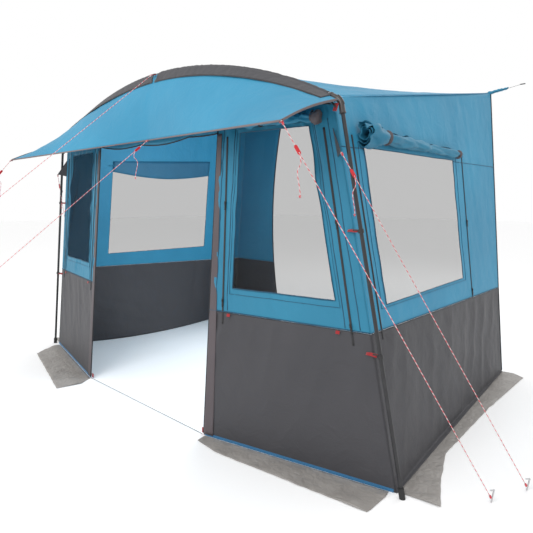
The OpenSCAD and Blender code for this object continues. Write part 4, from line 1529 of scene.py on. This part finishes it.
# The roof's rear corners are drawn out and gathered along the first part of their straps
GATHER_ROOT = Vector((REAR_TOP_HALF - 0.012, REAR_Y - 0.018, REAR_H - 0.006))
STRAP_TIP = Vector((1.453, REAR_Y + 0.246, REAR_H + 0.081))
GATHER_SHARE, GATHER_STEPS, GATHER_R = 0.56, 12, 0.0145
GATHER_TAPER, RUFFLE_DEPTH, RUFFLE_GRAIN = 2.6, 0.5, 60
for side, hand in ((1, "right"), (-1, "left")):
    gather = [
        hand_side(GATHER_ROOT.lerp(STRAP_TIP, GATHER_SHARE * k / GATHER_STEPS), side)
        for k in range(GATHER_STEPS + 1)
    ]
    gather_run = gather[-1] - gather[0]
    made = tube(f"rear_gather_{hand}", gather, GATHER_R, sides=12, flat=0.55)
    for v in made.data.vertices:
        along = (v.co - gather[0]).dot(gather_run.normalized())
        centre = gather[0].lerp(gather[-1], along / gather_run.length)
        ruffle = 1.15 - GATHER_TAPER * along + RUFFLE_DEPTH * noise.noise(v.co * RUFFLE_GRAIN)
        v.co = centre + (v.co - centre) * ruffle
    fit(made, sky_cloth, "sky")

peg_zinc = metal("peg_zinc", (0.55, 0.55, 0.56), 0.35)
paint("pegs_front", peg_zinc)
paint("pegs_side", peg_zinc)
runner_red = moulded("runner_red", (0.42, 0.008, 0.014), 0.4)
RUNNERS = {
    "runner_middle": ("guy_middle", 0.090),
    "runner_tip_right": ("guy_tip_right", 0.130),
    "runner_tip_left": ("guy_tip_left", 0.130),
    "runner_pole_right": ("guy_pole_right", 0.110),
    "runner_pole_left": ("guy_pole_left", 0.110),
}
TAIL_L = 0.17
for name, (guy, out) in RUNNERS.items():
    paint(name, runner_red)
    start, end = (Vector(p) for p in guys[guy])
    along = (end - start).normalized()
    at = start + along * out
    side = along.cross(Vector((0, 0, 1))).normalized()
    leave = at + along * 0.012 + side * 0.0068
    tail = [
        leave
        + side * (0.010 * sin(pi * min(1, k / 8)) + 0.004 * sin(k * 0.5))
        + Vector((0, 0, -TAIL_L * (k / 24) ** 1.1))
        + along * 0.012 * sin(k * 0.35)
        for k in range(25)
    ]
    spare = fit(tube(name + "_tail", tail, ROPE_D / 2, sides=8), rope_braid, "rope", name)
    end_knot = knot(name + "_tail_knot", tail[-1], (0, 0, 1), turns=2)
    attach(end_knot, name)
    real = sum((b - a).length for a, b in zip(tail, tail[1:]))

# ---- Floor, light and air ----
floor_mesh = bmesh.new()
bmesh.ops.create_grid(floor_mesh, x_segments=2, y_segments=2, size=30)
floor_data = bpy.data.meshes.new("floor")
floor_mesh.to_mesh(floor_data)
floor_mesh.free()
floor = bpy.data.objects.new("floor", floor_data)
bpy.context.scene.collection.objects.link(floor)
floor.location.z = -0.001
pale, _ = new_material("pale_floor", (0.97, 0.97, 0.97), 0.9)
floor.data.materials.append(pale)


def soft_light(name, at, to, size, power):
    data = bpy.data.lights.new(name, "AREA")
    data.size = size
    data.energy = power
    lamp = bpy.data.objects.new(name, data)
    lamp.location = at
    lamp.rotation_euler = (Vector(to) - Vector(at)).to_track_quat("-Z", "Y").to_euler()
    bpy.context.scene.collection.objects.link(lamp)


soft_light("key", (1.4, -5.6, 5.5), (0, -0.3, 0.9), 4.0, 185)
soft_light("fill", (-5.0, -4.0, 3.0), (0, 0, 1.0), 4.0, 45)
soft_light("rim", (1.0, 5.0, 4.5), (0, 0, 1.2), 3.0, 70)
glow = bpy.data.lights.new("glow", "POINT")
glow.energy = 42
glow.shadow_soft_size = 0.5
lamp = bpy.data.objects.new("glow", glow)
lamp.location = (0.1, 0.0, 1.45)
lamp.visible_camera = False
bpy.context.scene.collection.objects.link(lamp)
air = bpy.data.worlds.new("air")
bpy.context.scene.world = air
air.use_nodes = True
air.node_tree.nodes["Background"].inputs["Color"].default_value = (1, 1, 1, 1)
air.node_tree.nodes["Background"].inputs["Strength"].default_value = 1.0
bpy.context.scene.view_settings.view_transform = "Standard"
